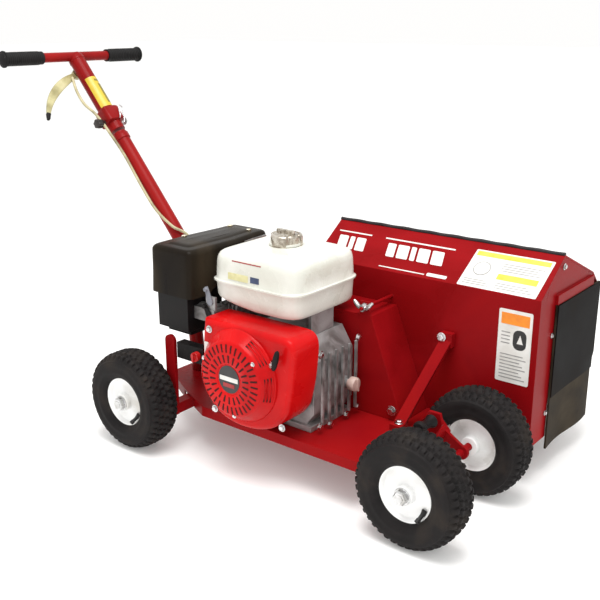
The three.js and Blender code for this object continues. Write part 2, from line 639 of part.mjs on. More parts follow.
place(machine, "idler_arm", idlerArmShape(), zinc());
place(
  machine,
  "idler_pulley",
  turned([[5 + RUNNING, -9], [IDLER_RADIUS, -9], [IDLER_RADIUS, 9], [5 + RUNNING, 9]], 20),
  zinc(),
  [idlerX, PULLEY_Y, idlerZ],
);

// ---- belt guard and its fasteners ----
const guardBottom = DECK_TOP + GAP;
const guardX = (z) =>
  GUARD_FOOT_RIGHT_X + ((GUARD_TOP_RIGHT_X - GUARD_FOOT_RIGHT_X) * (z - guardBottom)) / (GUARD_TOP_Z - guardBottom);
function guardShape() {
  const hull = (inset) =>
    outline([
      [GUARD_LEFT_X + inset, guardBottom + inset], [GUARD_FOOT_RIGHT_X - inset * 1.5, guardBottom + inset],
      [GUARD_TOP_RIGHT_X - inset * 0.7, GUARD_TOP_Z - inset], [GUARD_LEFT_X + inset, GUARD_TOP_Z - inset],
    ]);
  const shell = slabY(hull(0), [GUARD_Y, HOUSING_WALL_Y - GAP]);
  const room = slabY(hull(GUARD_SHEET), [GUARD_Y + GUARD_SHEET, HOUSING_WALL_Y + 5]);
  const tab = block([GUARD_TOP_RIGHT_X - 30, GUARD_TOP_RIGHT_X - 2], [GUARD_Y, GUARD_Y + GUARD_SHEET], [GUARD_TOP_Z - 2, GUARD_TOP_Z + 32]);
  const crankHole = barY(34, [-90, -60], CRANK_X, crankZ, 24);
  return carve(weld(shell, tab), room, crankHole, barY(5, [-90, 0], GUARD_TOP_RIGHT_X - 16, GUARD_TOP_Z + 18, 12));
}
place(machine, "belt_guard", guardShape(), frameRed());

function wingNutShape() {
  const boss = turned([[4 + RUNNING, -12], [8, -12], [10, 0], [4 + RUNNING, 0]], 12);
  const wings = [-1, 1].map((side) =>
    slabY(outline([[side * 6, -3], [side * 24, 10], [side * 26, 16], [side * 18, 17], [side * 5, 5]]), [-9, -5]),
  );
  return weld(boss, ...wings);
}
place(machine, "guard_wing_nut", wingNutShape(), zinc(), [studX, GUARD_Y - GAP, studZ]);

function boltHead(radius, length) {
  return weld(barY(radius, [-length, 0], 0, 0, 6), barY(radius * 1.35, [-1.5, 0], 0, 0, 16));
}
place(machine, "guard_bolt", boltHead(8, 7), zinc(), [guardX(140) - 20, GUARD_Y - GAP, 140]);

// Diagonal brace from the deck to the housing wall.
const braceTop = [389, HOUSING_WALL_Y - 12, 297];
const braceFoot = [350, -96, DECK_TOP + 12];
function braceShape() {
  const from = new THREE.Vector3(...braceFoot);
  const to = new THREE.Vector3(...braceTop);
  const along = to.clone().sub(from);
  const length = along.length();
  const bar = new THREE.BoxGeometry(26, 8, length);
  const middle = from.clone().add(to).multiplyScalar(0.5);
  bar.applyQuaternion(new THREE.Quaternion().setFromUnitVectors(new THREE.Vector3(0, 0, 1), along.normalize()));
  bar.translate(...middle.toArray());
  const wallPad = block([374, 404], [HOUSING_WALL_Y - 16, HOUSING_WALL_Y - GAP], [282, 314]);
  const footPad = block([336, 364], [-116, -82], [DECK_TOP + GAP, DECK_TOP + 14]);
  return weld(bar, wallPad, footPad);
}
place(machine, "diagonal_brace", braceShape(), frameRed());

// ---- handle ----
const handle = new THREE.Group();
handle.position.set(HANDLE_LINE_X, HANDLE_Y, DECK_TOP);
handle.rotation.y = THREE.MathUtils.degToRad(-HANDLE_LEAN);
machine.add(handle);
const cheekInside = UPPER_TUBE_RADIUS - 2;

// A place beside the machine's X and Z in the handle's own tilted axes.
const lean = THREE.MathUtils.degToRad(HANDLE_LEAN);
function leaned([x, z]) {
  const [dx, dz] = [x - HANDLE_LINE_X, z - DECK_TOP];
  return new THREE.Vector3(dx * Math.cos(lean) + dz * Math.sin(lean), 0, dz * Math.cos(lean) - dx * Math.sin(lean));
}

// Lower tube: it rises from its foot plate, bends back at the knee, and ends in the fork for the upper tube.
function bentTube() {
  const [low, knee, straight] = [leaned([HANDLE_PLATE_X, DECK_TOP - 10]), leaned(HANDLE_KNEE), new THREE.Vector3(0, 0, BEND_AT)];
  const path = new THREE.CurvePath();
  const corner = new THREE.Vector3(0, 0, BEND_AT - 90);
  path.add(new THREE.LineCurve3(low, knee));
  path.add(new THREE.QuadraticBezierCurve3(knee, corner, straight));
  path.add(new THREE.LineCurve3(straight, new THREE.Vector3(0, 0, FOLD_AT - 34)));
  const section = new THREE.Shape().absarc(0, 0, HANDLE_TUBE_RADIUS, 0, 2 * Math.PI);
  return new THREE.ExtrudeGeometry(section, { steps: 24, extrudePath: path, curveSegments: 9, bevelEnabled: false });
}
function lowerTubeShape() {
  const tube = bentTube();
  const plate = leaned([HANDLE_PLATE_X, DECK_TOP]);
  const level = (geometry) => geometry.rotateY(lean).translate(plate.x, 0, plate.z);
  const foot = level(block([-42, 42], [-32, 32], [GAP, 7]));
  const gusset = level(slabY(outline([[-38, 4], [38, 4], [0, 70]]), [-3, 3]));
  const below = level(block([-200, 200], [-200, 200], [-200, GAP]));
  const socket = block([-20, 20], [-cheekInside - CHEEK, cheekInside + CHEEK], [FOLD_AT - 64, FOLD_AT - 34]);
  const fork = [-1, 1].map((side) => {
    const shape = new THREE.Shape();
    shape.moveTo(-20, FOLD_AT - 60);
    shape.lineTo(20, FOLD_AT - 60);
    shape.absarc(0, FOLD_AT, CHEEK_RADIUS, 0, Math.PI);
    const inner = cheekInside;
    return slabY(shape, side > 0 ? [inner, inner + CHEEK] : [-inner - CHEEK, -inner], { curveSegments: 6 });
  });
  const bore = barY(6 + GAP, [-60, 60], 0, FOLD_AT, 16);
  return carve(weld(tube, foot, gusset, socket, ...fork), below, bore);
}
place(handle, "handle_lower_tube", lowerTubeShape(), frameRed());

// Upper tube: a rounded tongue in the fork, the tube, and the cross bar on top.
const tongueHalf = cheekInside - 0.5;
const LEVER_AT = HANDLE_LENGTH - 35;
function upperTubeShape() {
  const tongue = new THREE.Shape();
  tongue.absarc(0, FOLD_AT, 20, Math.PI, 2 * Math.PI);
  tongue.lineTo(18, FOLD_AT + 60);
  tongue.lineTo(-18, FOLD_AT + 60);
  const plate = slabY(tongue, [-tongueHalf, tongueHalf], { curveSegments: 6 });
  const tube = barZ(UPPER_TUBE_RADIUS, [FOLD_AT + 42, HANDLE_LENGTH], 0, 0, 20);
  const bar = barY(TBAR_RADIUS, [-TBAR_LENGTH / 2, TBAR_LENGTH / 2], 0, HANDLE_LENGTH, 20);
  const leverEar = block([-UPPER_TUBE_RADIUS - 4, 6 - UPPER_TUBE_RADIUS], [-16, 16], [LEVER_AT - 16, LEVER_AT + 16]);
  const leverPin = barX(4, [-UPPER_TUBE_RADIUS - 16, -UPPER_TUBE_RADIUS], 0, LEVER_AT, 12);
  return carve(weld(plate, tube, bar, leverEar, leverPin), barY(6 + RUNNING, [-60, 60], 0, FOLD_AT, 16));
}
place(handle, "handle_upper_tube", upperTubeShape(), frameRed());

// Moulded grips, each with a flange at its open end and a closed outer end.
function gripShape() {
  const bore = TBAR_RADIUS + GAP;
  return turnedSolid(
    [[0, -GAP], [bore, -GAP], [bore, -GRIP_LENGTH], [GRIP_RADIUS + 5, -GRIP_LENGTH], [GRIP_RADIUS + 5, 4 - GRIP_LENGTH],
      [GRIP_RADIUS, 6 - GRIP_LENGTH], [GRIP_RADIUS, 0], [GRIP_RADIUS - 3, 3], [0, 3]],
    20,
  );
}
place(handle, "handle_grip_left", gripShape(), blackPlastic(), [0, TBAR_LENGTH / 2 + GAP, HANDLE_LENGTH]);
const rightGrip = place(handle, "handle_grip_right", gripShape(), blackPlastic(), [
  0,
  -TBAR_LENGTH / 2 - GAP,
  HANDLE_LENGTH,
]);
rightGrip.rotation.z = Math.PI;

// Fold bolt with a black knob on one side and a nut on the other.
const knobFace = -cheekInside - CHEEK - GAP;
place(
  handle,
  "fold_knob",
  weld(
    turnedSolid(
      [[0, knobFace - 30], [8, knobFace - 30], [11, knobFace - 26], [8, knobFace - 17], [9, knobFace - 6], [12, knobFace],
        [6, knobFace], [6, -knobFace + 12], [0, -knobFace + 12]],
      16,
    ),
  ),
  blackPlastic(),
  [0, 0, FOLD_AT],
);

// Clutch lever: a curved hand lever on the operator's side, drooping beside the right grip.
const leverX = -UPPER_TUBE_RADIUS - 4 - GAP;
const LEVER_THICKNESS = 10;
function clutchLeverShape() {
  const middle = leverX - LEVER_THICKNESS / 2;
  const hub = barX(11, [leverX - LEVER_THICKNESS, leverX], 0, 0, 16);
  const path = new THREE.CubicBezierCurve3(
    new THREE.Vector3(middle, -4, -2),
    new THREE.Vector3(middle, -60, -20),
    new THREE.Vector3(middle, -125, -60),
    new THREE.Vector3(middle, -156, -125),
  );
  const section = roundedRectangle(LEVER_THICKNESS - 1, 18, 4);
  const blade = new THREE.ExtrudeGeometry(section, { steps: 10, extrudePath: path, curveSegments: 1, bevelEnabled: false });
  const knob = new THREE.SphereGeometry(10, 10, 6).translate(middle, -156, -127);
  return carve(weld(hub, blade, knob), barX(4 + RUNNING, [-90, 0], 0, 0, 16));
}
place(handle, "clutch_lever", clutchLeverShape(), whitePaint(), [0, 0, LEVER_AT]);

// Control cable beside the handle, in two lengths that meet at the fold.
// The lower one crosses in front of the tube, follows it down and runs over the deck to the belt guard.
const cableX = 18;
const cableY = -36;
function onHandle(x, y, s) {
  return [
    HANDLE_LINE_X + x * Math.cos(lean) - s * Math.sin(lean),
    HANDLE_Y + y,
    DECK_TOP + x * Math.sin(lean) + s * Math.cos(lean),
  ];
}
place(
  handle,
  "control_cable_upper",
  cordAlong(
    [[cableX, cableY, FOLD_AT + 14], [cableX, cableY, FOLD_AT + 60], [cableX + 2, cableY + 4, FOLD_AT + 110],
      [cableX + 6, cableY + 8, HANDLE_LENGTH - 60]],
    CABLE_RADIUS,
    10,
  ),
  finish(0xcfc4a8, 0.5, 0),
);
const cableRoute = [
  onHandle(cableX, cableY, FOLD_AT - 14), onHandle(cableX, cableY, FOLD_AT - 100), onHandle(28, -22, 600),
  onHandle(30, 0, 540), onHandle(29, 20, 480), [-240, -84, 360], [-226, -76, 240], [-212, -72, 165],
  [-188, -68, 134], [-100, -54, 128], [-14, -45, 140],
];
place(machine, "control_cable_lower", cordAlong(cableRoute, CABLE_RADIUS, 34), finish(0xcfc4a8, 0.5, 0));

// ---- engine: origin at the crank centre, on the deck ----
const engine = new THREE.Group();
engine.position.set(CRANK_X, 0, DECK_TOP);
machine.add(engine);
const BLOCK_NEAR = -228;
const BLOCK_FAR = -85;
const PTO_FACE = -80;
const BLOCK_RIGHT = 128;
const BLOCK_TOP = 205;
const crankBore = CRANK_DIAMETER / 2 + RUNNING;
const OIL_Y = -118;
const OIL_Z = 84;
const NECK = 16;

// Crankcase with its feet, power take-off boss, side ribs and oil filler neck.
function blockShape() {
  const body = slabY(
    outline([[-72, 8], [104, 8], [BLOCK_RIGHT, 40], [BLOCK_RIGHT, 158], [98, BLOCK_TOP], [-60, BLOCK_TOP], [-92, 160], [-92, 50]]),
    [BLOCK_NEAR, BLOCK_FAR],
  );
  const feet = block([-96, 126], [BLOCK_NEAR - 8, BLOCK_FAR - 4], [GAP, 13]);
  const boss = barY(46, [BLOCK_FAR - 5, PTO_FACE], 0, CRANK_HEIGHT, 24);
  const ribs = [-200, -178, -156, -134].map((y) => block([BLOCK_RIGHT - 4, BLOCK_RIGHT + 7], [y, y + 6], [110, 156]));
  const neck = barX(13, [BLOCK_RIGHT - 4, BLOCK_RIGHT + NECK], OIL_Y, OIL_Z, 16);
  const neckBore = barX(9, [BLOCK_RIGHT + 2, BLOCK_RIGHT + NECK + 5], OIL_Y, OIL_Z, 16);
  return carve(weld(body, feet, boss, ...ribs, neck), neckBore, barY(crankBore, [-400, 100], 0, CRANK_HEIGHT, 24));
}
place(engine, "engine_block", blockShape(), castAlloy());

place(
  engine,
  "oil_cap",
  weld(
    barX(8, [-10, 1], 0, 0, 12),
    barX(17, [GAP, 14], 0, 0, 12),
    block([13, 24], [-4, 4], [-14, 14]),
  ),
  finish(0xc8b4b0, 0.5, 0),
  [BLOCK_RIGHT + NECK, OIL_Y, OIL_Z],
);

// Crankshaft with the flywheel fan inside the red shroud.
const FLYWHEEL_Y = [-300, -262];
place(
  engine,
  "crankshaft",
  barY(CRANK_DIAMETER / 2, [-316, 4], 0, CRANK_HEIGHT, 24),
  darkSteel(),
);
function flywheelShape() {
  const disc = barY(62, [FLYWHEEL_Y[1] - 14, FLYWHEEL_Y[1]], 0, CRANK_HEIGHT, 28);
  const vanes = [];
  for (let i = 0; i < 12; i++) {
    const vane = block([34, 84], [FLYWHEEL_Y[0], FLYWHEEL_Y[1] - 2], [-2, 2]);
    vanes.push(vane.rotateY((i * Math.PI) / 6).translate(0, 0, CRANK_HEIGHT));
  }
  return carve(weld(disc, ...vanes), barY(CRANK_DIAMETER / 2 + GAP, [-400, 0], 0, CRANK_HEIGHT, 24));
}
place(engine, "flywheel_fan", flywheelShape(), castAlloy());

// Finned cylinder and rocker cover at the left of the block.
function cylinderShape() {
  const core = block([-158, -92 - GAP], [-208, -118], [128, 232]);
  const fins = [0, 1, 2, 3, 4].map((i) => block([-152 + i * 12, -147 + i * 12], [-218, -108], [118, 240]));
  return weld(core, ...fins);
}
place(engine, "cylinder_head", cylinderShape(), castAlloy());
place(
  engine,
  "rocker_cover",
  slabX(roundedRectangle(84, 76, 16, -163, 182), [-186, -158 - GAP]),
  castAlloy(),
);
place(engine, "spark_plug_cap", barY(11, [-108 + GAP, -70], -124, 196, 16), blackPlastic());

// Blower shroud: a deep pressed cover, open at the back.
const SHROUD_FRONT = -322;
const SHROUD_BACK = -238;
const SHROUD_SHEET = 2.5;
function shroudOutline(inset) {
  const shape = new THREE.Shape();
  shape.moveTo(-104 + inset, 238 - inset);
  shape.quadraticCurveTo(-122 + inset, 130, -96 + inset, 52);
  shape.quadraticCurveTo(-70, 10 + inset, 0, 9 + inset);
  shape.quadraticCurveTo(96, 10 + inset, 128 - inset, 76 + inset * 0.4);
  shape.quadraticCurveTo(144 - inset, 130, 148 - inset, 206);
  shape.quadraticCurveTo(148 - inset, 239 - inset, 118, 239 - inset);
  shape.closePath();
  return shape;
}
function shroudShape() {
  const bevel = 12;
  const outer = slabY(shroudOutline(bevel), [SHROUD_FRONT + bevel, SHROUD_BACK], {
    bevelEnabled: true,
    bevelThickness: bevel,
    bevelSize: bevel,
    bevelSegments: 3,
    curveSegments: 6,
  });
  const trim = block([-300, 300], [SHROUD_BACK, SHROUD_BACK + 50], [-50, 400]);
  const room = slabY(shroudOutline(SHROUD_SHEET + 4), [SHROUD_FRONT + 6, SHROUD_BACK + 1], { curveSegments: 6 });
  const eye = barY(70, [-400, -300], 0, CRANK_HEIGHT, 28);
  return carve(outer, trim, room, eye);
}
place(engine, "blower_shroud", shroudShape(), engineRed());

// Recoil starter cover: a dome with a ring of slots and a dished centre.
const STARTER_RADIUS = 96;
const STARTER_DEPTH = 34;
function starterShape() {
  const face = SHROUD_FRONT - GAP;
  const dome = turnedSolid(
    [[0, face - STARTER_DEPTH + 6], [24, face - STARTER_DEPTH + 6], [30, face - STARTER_DEPTH], [66, face - STARTER_DEPTH + 2],
      [80, face - STARTER_DEPTH + 10], [STARTER_RADIUS - 6, face - 8], [STARTER_RADIUS, face - 4], [STARTER_RADIUS, face], [78, face],
      [62, face - STARTER_DEPTH + 6], [28, face - STARTER_DEPTH + 9], [0, face - STARTER_DEPTH + 9]],
    24,
  );
  return dome;
}
place(engine, "starter_cover", starterShape(), engineRed(), [0, 0, CRANK_HEIGHT]);

// Starter grip at rest against its rope guide.
const GRIP_X = 112;
const GRIP_Y = -338;
const GRIP_Z = 196;
place(
  engine,
  "starter_grip",
  weld(block([-6, 16], [-8, 8], [-24, 24]), barX(6, [-14, -4], 0, 0, 12)),
  blackPlastic(),
  [GRIP_X, GRIP_Y, GRIP_Z],
);

// Engine switch: a black box beside the shroud with a red rotary knob.
place(engine, "switch_box", block([-206, -124], [-306, -282], [118, 156]), blackPlastic());
place(
  engine,
  "engine_switch",
  weld(barY(11, [-12, -GAP], 0, 0, 16), block([-2.5, 2.5], [-18, -10], [-10, 10])),
  finish(0xb01218, 0.4, 0),
  [-140, -306, 137],
);

// Fuel tank: two rounded halves joined by a flange; the lower half slopes up at the left.
const tankSeamBand = 5;
function tankShape() {
  const length = TANK_LENGTH - 16;
  const width = TANK_WIDTH - 16;
  const bevel = { bevelEnabled: true, bevelThickness: 22, bevelSize: 22, bevelSegments: 3, curveSegments: 4 };
  const upper = slabZ(
    roundedRectangle(length - 44, width - 44, 16),
    [TANK_SEAM_Z - 30, TANK_SEAM_Z + TANK_TOP - 22 - 10],
    bevel,
  );
  const crown = slabZ(roundedRectangle(120, 116, 50), [TANK_SEAM_Z + 40, TANK_SEAM_Z + TANK_TOP - 6], {
    bevelEnabled: true,
    bevelThickness: 6,
    bevelSize: 40,
    bevelSegments: 2,
    curveSegments: 5,
  });
  const upperOnly = block([-200, 200], [-200, 200], [TANK_SEAM_Z - 200, TANK_SEAM_Z]);
  const flange = slabZ(roundedRectangle(TANK_LENGTH, TANK_WIDTH, 30), [TANK_SEAM_Z - tankSeamBand, TANK_SEAM_Z], {
    curveSegments: 5,
  });
  const lower = slabZ(roundedRectangle(length - 6, width - 6, 24), [TANK_SEAM_Z - TANK_DROP, TANK_SEAM_Z - 1], {
    curveSegments: 5,
  });
  const slope = slabY(
    outline([[-300, TANK_SEAM_Z - TANK_DROP - 5], [-52, TANK_SEAM_Z - TANK_DROP - 5], [-121, TANK_SEAM_Z - 14], [-300, TANK_SEAM_Z - 14]]),
    [-300, 300],
  );
  const neckSeat = TANK_SEAM_Z + TANK_TOP;
  const neck = barZ(CAP_RADIUS - 10, [neckSeat - 10, neckSeat + 6], 0, 0, 24);
  const filler = barZ(CAP_RADIUS - 14, [neckSeat - 24, neckSeat + 20], 0, 0, 24);
  return carve(weld(carve(weld(upper, crown), upperOnly), flange, carve(lower, slope), neck), filler);
}
place(engine, "fuel_tank", tankShape(), whitePaint(), [TANK_MIDDLE_X, TANK_MIDDLE_Y, 0]);

// Pressed fuel cap that turns on the filler neck.
const capSeat = TANK_SEAM_Z + TANK_TOP + 6 + GAP;
function capShape() {
  const shell = new THREE.CylinderGeometry(CAP_RADIUS - 2, CAP_RADIUS, CAP_HEIGHT, 24).rotateX(Math.PI / 2);
  shell.translate(0, 0, CAP_HEIGHT / 2);
  const plug = barZ(CAP_RADIUS - 16, [-14, 1], 0, 0, 24);
  const ear = block([-6, 6], [CAP_RADIUS - 4, CAP_RADIUS + 3], [3, 14]);
  return weld(shell, plug, ear);
}
place(engine, "fuel_cap", capShape(), zinc(), [TANK_MIDDLE_X, TANK_MIDDLE_Y, capSeat]);

// Bent bracket from the block up to the tank.
const tankUnder = TANK_SEAM_Z - TANK_DROP;
place(
  engine,
  "tank_bracket",
  weld(
    block([20, 96], [-196, -116], [BLOCK_TOP + GAP, BLOCK_TOP + 6]),
    block([88, 96], [-196, -116], [BLOCK_TOP + GAP, tankUnder - GAP]),
    block([40, 96], [-196, -116], [tankUnder - 6, tankUnder - GAP]),
  ),
  finish(0x7e8190, 0.4, 0.7),
);

// ---- intake and exhaust ----
const coverLeft = COVER_RIGHT_X - COVER_LENGTH_X;
const coverFar = COVER_NEAR_Y + COVER_LENGTH_Y;
const COVER_STEP_Y = -166;
function coverShape() {
  const span = (inset) => [coverLeft + inset, COVER_RIGHT_X - inset];
  const near = block(span(0), [COVER_NEAR_Y, COVER_STEP_Y], [COVER_TOP_Z - COVER_DEEP, COVER_TOP_Z]);
  const far = block(span(0), [COVER_STEP_Y - 1, coverFar], [COVER_TOP_Z - COVER_SHALLOW, COVER_TOP_Z]);
  const nearRoom = block(span(COVER_WALL), [COVER_NEAR_Y + COVER_WALL, COVER_STEP_Y - COVER_WALL], [0, COVER_TOP_Z - COVER_WALL]);
  const farRoom = block(span(COVER_WALL), [COVER_STEP_Y, coverFar - COVER_WALL], [0, COVER_TOP_Z - COVER_WALL]);
  return carve(weld(near, far), nearRoom, farRoom);
}
place(machine, "air_cleaner_cover", coverShape(), blackPlastic());

const caseX = [coverLeft + 10, COVER_RIGHT_X - 26];
place(
  machine,
  "air_cleaner_case",
  weld(
    block(caseX, [COVER_NEAR_Y + 14, -172], [292, COVER_TOP_Z - COVER_WALL - 30]),
    block([caseX[0] + 14, caseX[1] - 8], [COVER_NEAR_Y + 30, -190], [280, 293]),
  ),
  blackPlastic(),
);
place(
  machine,
  "muffler",
  weld(
    block([coverLeft + 12, COVER_RIGHT_X - 10], [-154, coverFar - 14], [342, COVER_TOP_Z - COVER_WALL - 12]),
    barX(13, [COVER_RIGHT_X - 12, CRANK_X - 158 - GAP], -140, 358, 16),
    barY(12, [coverFar - 16, coverFar + 14], coverLeft + 60, 380, 16),
  ),
  darkSteel(),
);

// Carburettor on the near side of the cylinder head.
const carbY = [-264, -218 - GAP];
place(
  machine,
  "carburetor",
  weld(
    block([caseX[1] + GAP, -40], carbY, [322, 352]),
    barZ(17, [296, 323], -62, -242, 16),
    barX(17, [caseX[1] + GAP, -48], -240, 340, 16),
    block([-66, -38], [-262, -256], [348, 382]),
  ),
  finish(0x8d9198, 0.4, 0.8),
);

function leverPlate(length) {
  const shape = new THREE.Shape();
  shape.absarc(0, 0, 8, 0, Math.PI, true);
  shape.lineTo(-4, length);
  shape.lineTo(4, length);
  return weld(slabY(shape, [-3, 0], { curveSegments: 6 }), barY(5, [-8, -2], 0, length - 6, 10));
}
const choke = place(machine, "choke_lever", leverPlate(34), darkSteel(), [-52, carbY[0] - GAP, 334]);
choke.rotation.y = -0.5;
const throttle = place(machine, "throttle_lever", leverPlate(36), finish(0x6b7390, 0.4, 0.6), [-52, -262 - GAP, 370]);
throttle.rotation.y = -0.3;

export default machine;
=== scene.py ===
import math

import bmesh
import bpy
import numpy as np
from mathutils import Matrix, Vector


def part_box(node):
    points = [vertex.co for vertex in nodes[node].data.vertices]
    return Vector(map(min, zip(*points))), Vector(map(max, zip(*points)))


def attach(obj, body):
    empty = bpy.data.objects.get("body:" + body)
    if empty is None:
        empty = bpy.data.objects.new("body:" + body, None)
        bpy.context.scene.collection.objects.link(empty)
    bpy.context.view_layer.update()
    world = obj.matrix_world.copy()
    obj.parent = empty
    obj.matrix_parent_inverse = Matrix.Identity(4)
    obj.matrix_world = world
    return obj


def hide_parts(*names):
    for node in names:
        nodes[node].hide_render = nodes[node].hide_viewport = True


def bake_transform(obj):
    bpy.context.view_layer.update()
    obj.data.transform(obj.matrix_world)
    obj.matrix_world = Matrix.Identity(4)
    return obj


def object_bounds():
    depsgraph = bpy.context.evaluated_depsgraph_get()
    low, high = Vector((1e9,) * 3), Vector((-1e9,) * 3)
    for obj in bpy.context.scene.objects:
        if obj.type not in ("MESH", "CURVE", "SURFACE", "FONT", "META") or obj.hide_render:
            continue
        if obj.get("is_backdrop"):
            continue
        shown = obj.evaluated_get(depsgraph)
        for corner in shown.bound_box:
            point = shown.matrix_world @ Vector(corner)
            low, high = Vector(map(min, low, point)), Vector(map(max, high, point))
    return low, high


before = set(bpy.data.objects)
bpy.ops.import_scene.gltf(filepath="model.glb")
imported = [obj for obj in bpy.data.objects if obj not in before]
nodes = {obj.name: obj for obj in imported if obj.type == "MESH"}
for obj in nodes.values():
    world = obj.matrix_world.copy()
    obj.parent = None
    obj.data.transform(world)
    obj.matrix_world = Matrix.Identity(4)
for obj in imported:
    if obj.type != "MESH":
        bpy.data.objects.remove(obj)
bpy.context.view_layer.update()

# ---- Camera and light ----
# A standing person's view from the machine's right front. The studio has one large soft lamp
# overhead, a weak one at the side and an even white sky.
camera = bpy.data.objects.new("camera", bpy.data.cameras.new("camera"))
camera.data.lens, camera.data.sensor_width = 53.28, 36
camera.location = (1.299, -1.621, 0.974)
camera.rotation_euler = (math.radians(72.4), 0, math.radians(38.3))
bpy.context.scene.collection.objects.link(camera)
bpy.context.scene.camera = camera
bpy.context.scene.view_settings.view_transform = "Standard"

sky = bpy.data.worlds.new("studio")
sky.use_nodes = True
sky.node_tree.nodes["Background"].inputs["Color"].default_value = (1, 0.995, 0.985, 1)
sky.node_tree.nodes["Background"].inputs["Strength"].default_value = 1.0
bpy.context.scene.world = sky


def soft_lamp(name, place, target, size, watts):
    """A square area lamp that faces its target."""
    lamp = bpy.data.objects.new(name, bpy.data.lights.new(name, "AREA"))
    lamp.data.size, lamp.data.energy = size, watts
    lamp.location = place
    lamp.rotation_euler = (Vector(target) - Vector(place)).to_track_quat("-Z", "Y").to_euler()
    bpy.context.scene.collection.objects.link(lamp)


soft_lamp("top_lamp", (0.5, -0.6, 2.9), (0, 0, 0.2), 1.6, 70)
soft_lamp("side_lamp", (2.2, -1.6, 1.9), (0.1, 0, 0.3), 0.9, 6)


# ---- Tyres ----
# Black pneumatic turf tyres, moulded and vulcanised in one piece, with staggered tread blocks over
# a round section and ribbed walls. Air pressure seats their beads on the rims.
def turned(profile, centre, steps, axis="Y"):
    """Each (radius, along) of the profile goes once round an axis through the centre, as one row."""
    angle = np.linspace(0, 2 * np.pi, steps, endpoint=False)
    radius, along = np.asarray(profile, float).T
    a = np.outer(radius, np.cos(angle))
    b = np.outer(radius, np.sin(angle))
    c = np.repeat(along[:, None], steps, axis=1)
    points = {"X": (c, a, b), "Y": (a, c, b), "Z": (a, b, c)}[axis]
    return np.stack(points, axis=-1) + np.asarray(centre, float)


def skin(rows, round_rows=True, loop=False, caps=True):
    """Quads between neighbouring rows of a grid; rows may close on themselves and flat faces end the stack."""
    n, m = rows.shape[:2]
    i = np.arange(n if loop else n - 1)[:, None]
    j = np.arange(m if round_rows else m - 1)[None, :]
    up, side = (i + 1) % n, (j + 1) % m
    quads = np.stack([i * m + j, i * m + side, up * m + side, up * m + j], axis=-1).reshape(-1, 4)
    ends = [list(range(m)), list(range((n - 1) * m, n * m))] if caps and not loop else []
    return rows.reshape(-1, 3), quads, ends


def piece(name, skins, body, finish, replaces=(), crease=38):
    """Joins the skins into one mesh with outward faces, and gives it its body and its finish."""
    points, faces, start = [], [], 0
    for corners, quads, ends in skins:
        faces += (quads + start).tolist() + [[k + start for k in end] for end in ends]
        points.append(corners)
        start += len(corners)
    mesh = bpy.data.meshes.new(name)
    mesh.from_pydata(np.concatenate(points).tolist(), [], faces)
    work = bmesh.new()
    work.from_mesh(mesh)
    bmesh.ops.remove_doubles(work, verts=work.verts, dist=2e-6)
    bmesh.ops.dissolve_degenerate(work, edges=work.edges, dist=1e-7)
    bmesh.ops.recalc_face_normals(work, faces=work.faces)
    work.to_mesh(mesh)
    work.free()
    mesh.shade_smooth()
    mesh.set_sharp_from_angle(angle=math.radians(crease))
    mesh.materials.append(finish)
    made = bpy.data.objects.new(name, mesh)
    bpy.context.scene.collection.objects.link(made)
    if body:
        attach(made, body)
    if replaces:
        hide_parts(*replaces)
    return made


def coating(name, tones, patch=7.0, grain=700.0, depth=0.03, gloss=(0.3, 0.45), metal=0.0, specular=0.5,
            coat=0.0, warp=0.4):
    """A finish of slow patches of tone, darkest first, and of gloss, under a fine surface grain."""
    made = bpy.data.materials.new(name)
    made.use_nodes = True
    tree = made.node_tree
    shader = tree.nodes["Principled BSDF"]
    place = tree.nodes.new("ShaderNodeTexCoord")
    slow, fine = (tree.nodes.new("ShaderNodeTexNoise") for _ in range(2))
    ramp = tree.nodes.new("ShaderNodeValToRGB")
    stops = ramp.color_ramp.elements
    stops[0].position, stops[1].position = 0.32, 0.68
    stops[0].color, stops[1].color = (*tones[0], 1), (*tones[-1], 1)
    for k, tone in enumerate(tones[1:-1], 1):
        stops.new(0.32 + 0.36 * k / (len(tones) - 1)).color = (*tone, 1)
    dull = tree.nodes.new("ShaderNodeMapRange")
    bump = tree.nodes.new("ShaderNodeBump")
    for node, values in [
            (slow, {"Scale": patch, "Detail": 6, "Distortion": warp}), (fine, {"Scale": grain, "Detail": 3}),
            (dull, {"From Min": 0.3, "From Max": 0.7, "To Min": gloss[0], "To Max": gloss[1]}),
            (bump, {"Strength": 0.5, "Distance": depth / 100}),
            (shader, {"Metallic": metal, "Specular IOR Level": specular, "Coat Weight": coat,
                      "Coat Roughness": 0.12})]:
        for socket, value in values.items():
            node.inputs[socket].default_value = value
    for out, socket, into, name in [
            (place, "Object", slow, "Vector"), (place, "Object", fine, "Vector"), (slow, "Fac", ramp, "Fac"),
            (slow, "Fac", dull, "Value"), (ramp, "Color", shader, "Base Color"),
            (dull, "Result", shader, "Roughness"), (fine, "Fac", bump, "Height"),
            (bump, "Normal", shader, "Normal")]:
        tree.links.new(out.outputs[socket], into.inputs[name])
    return made


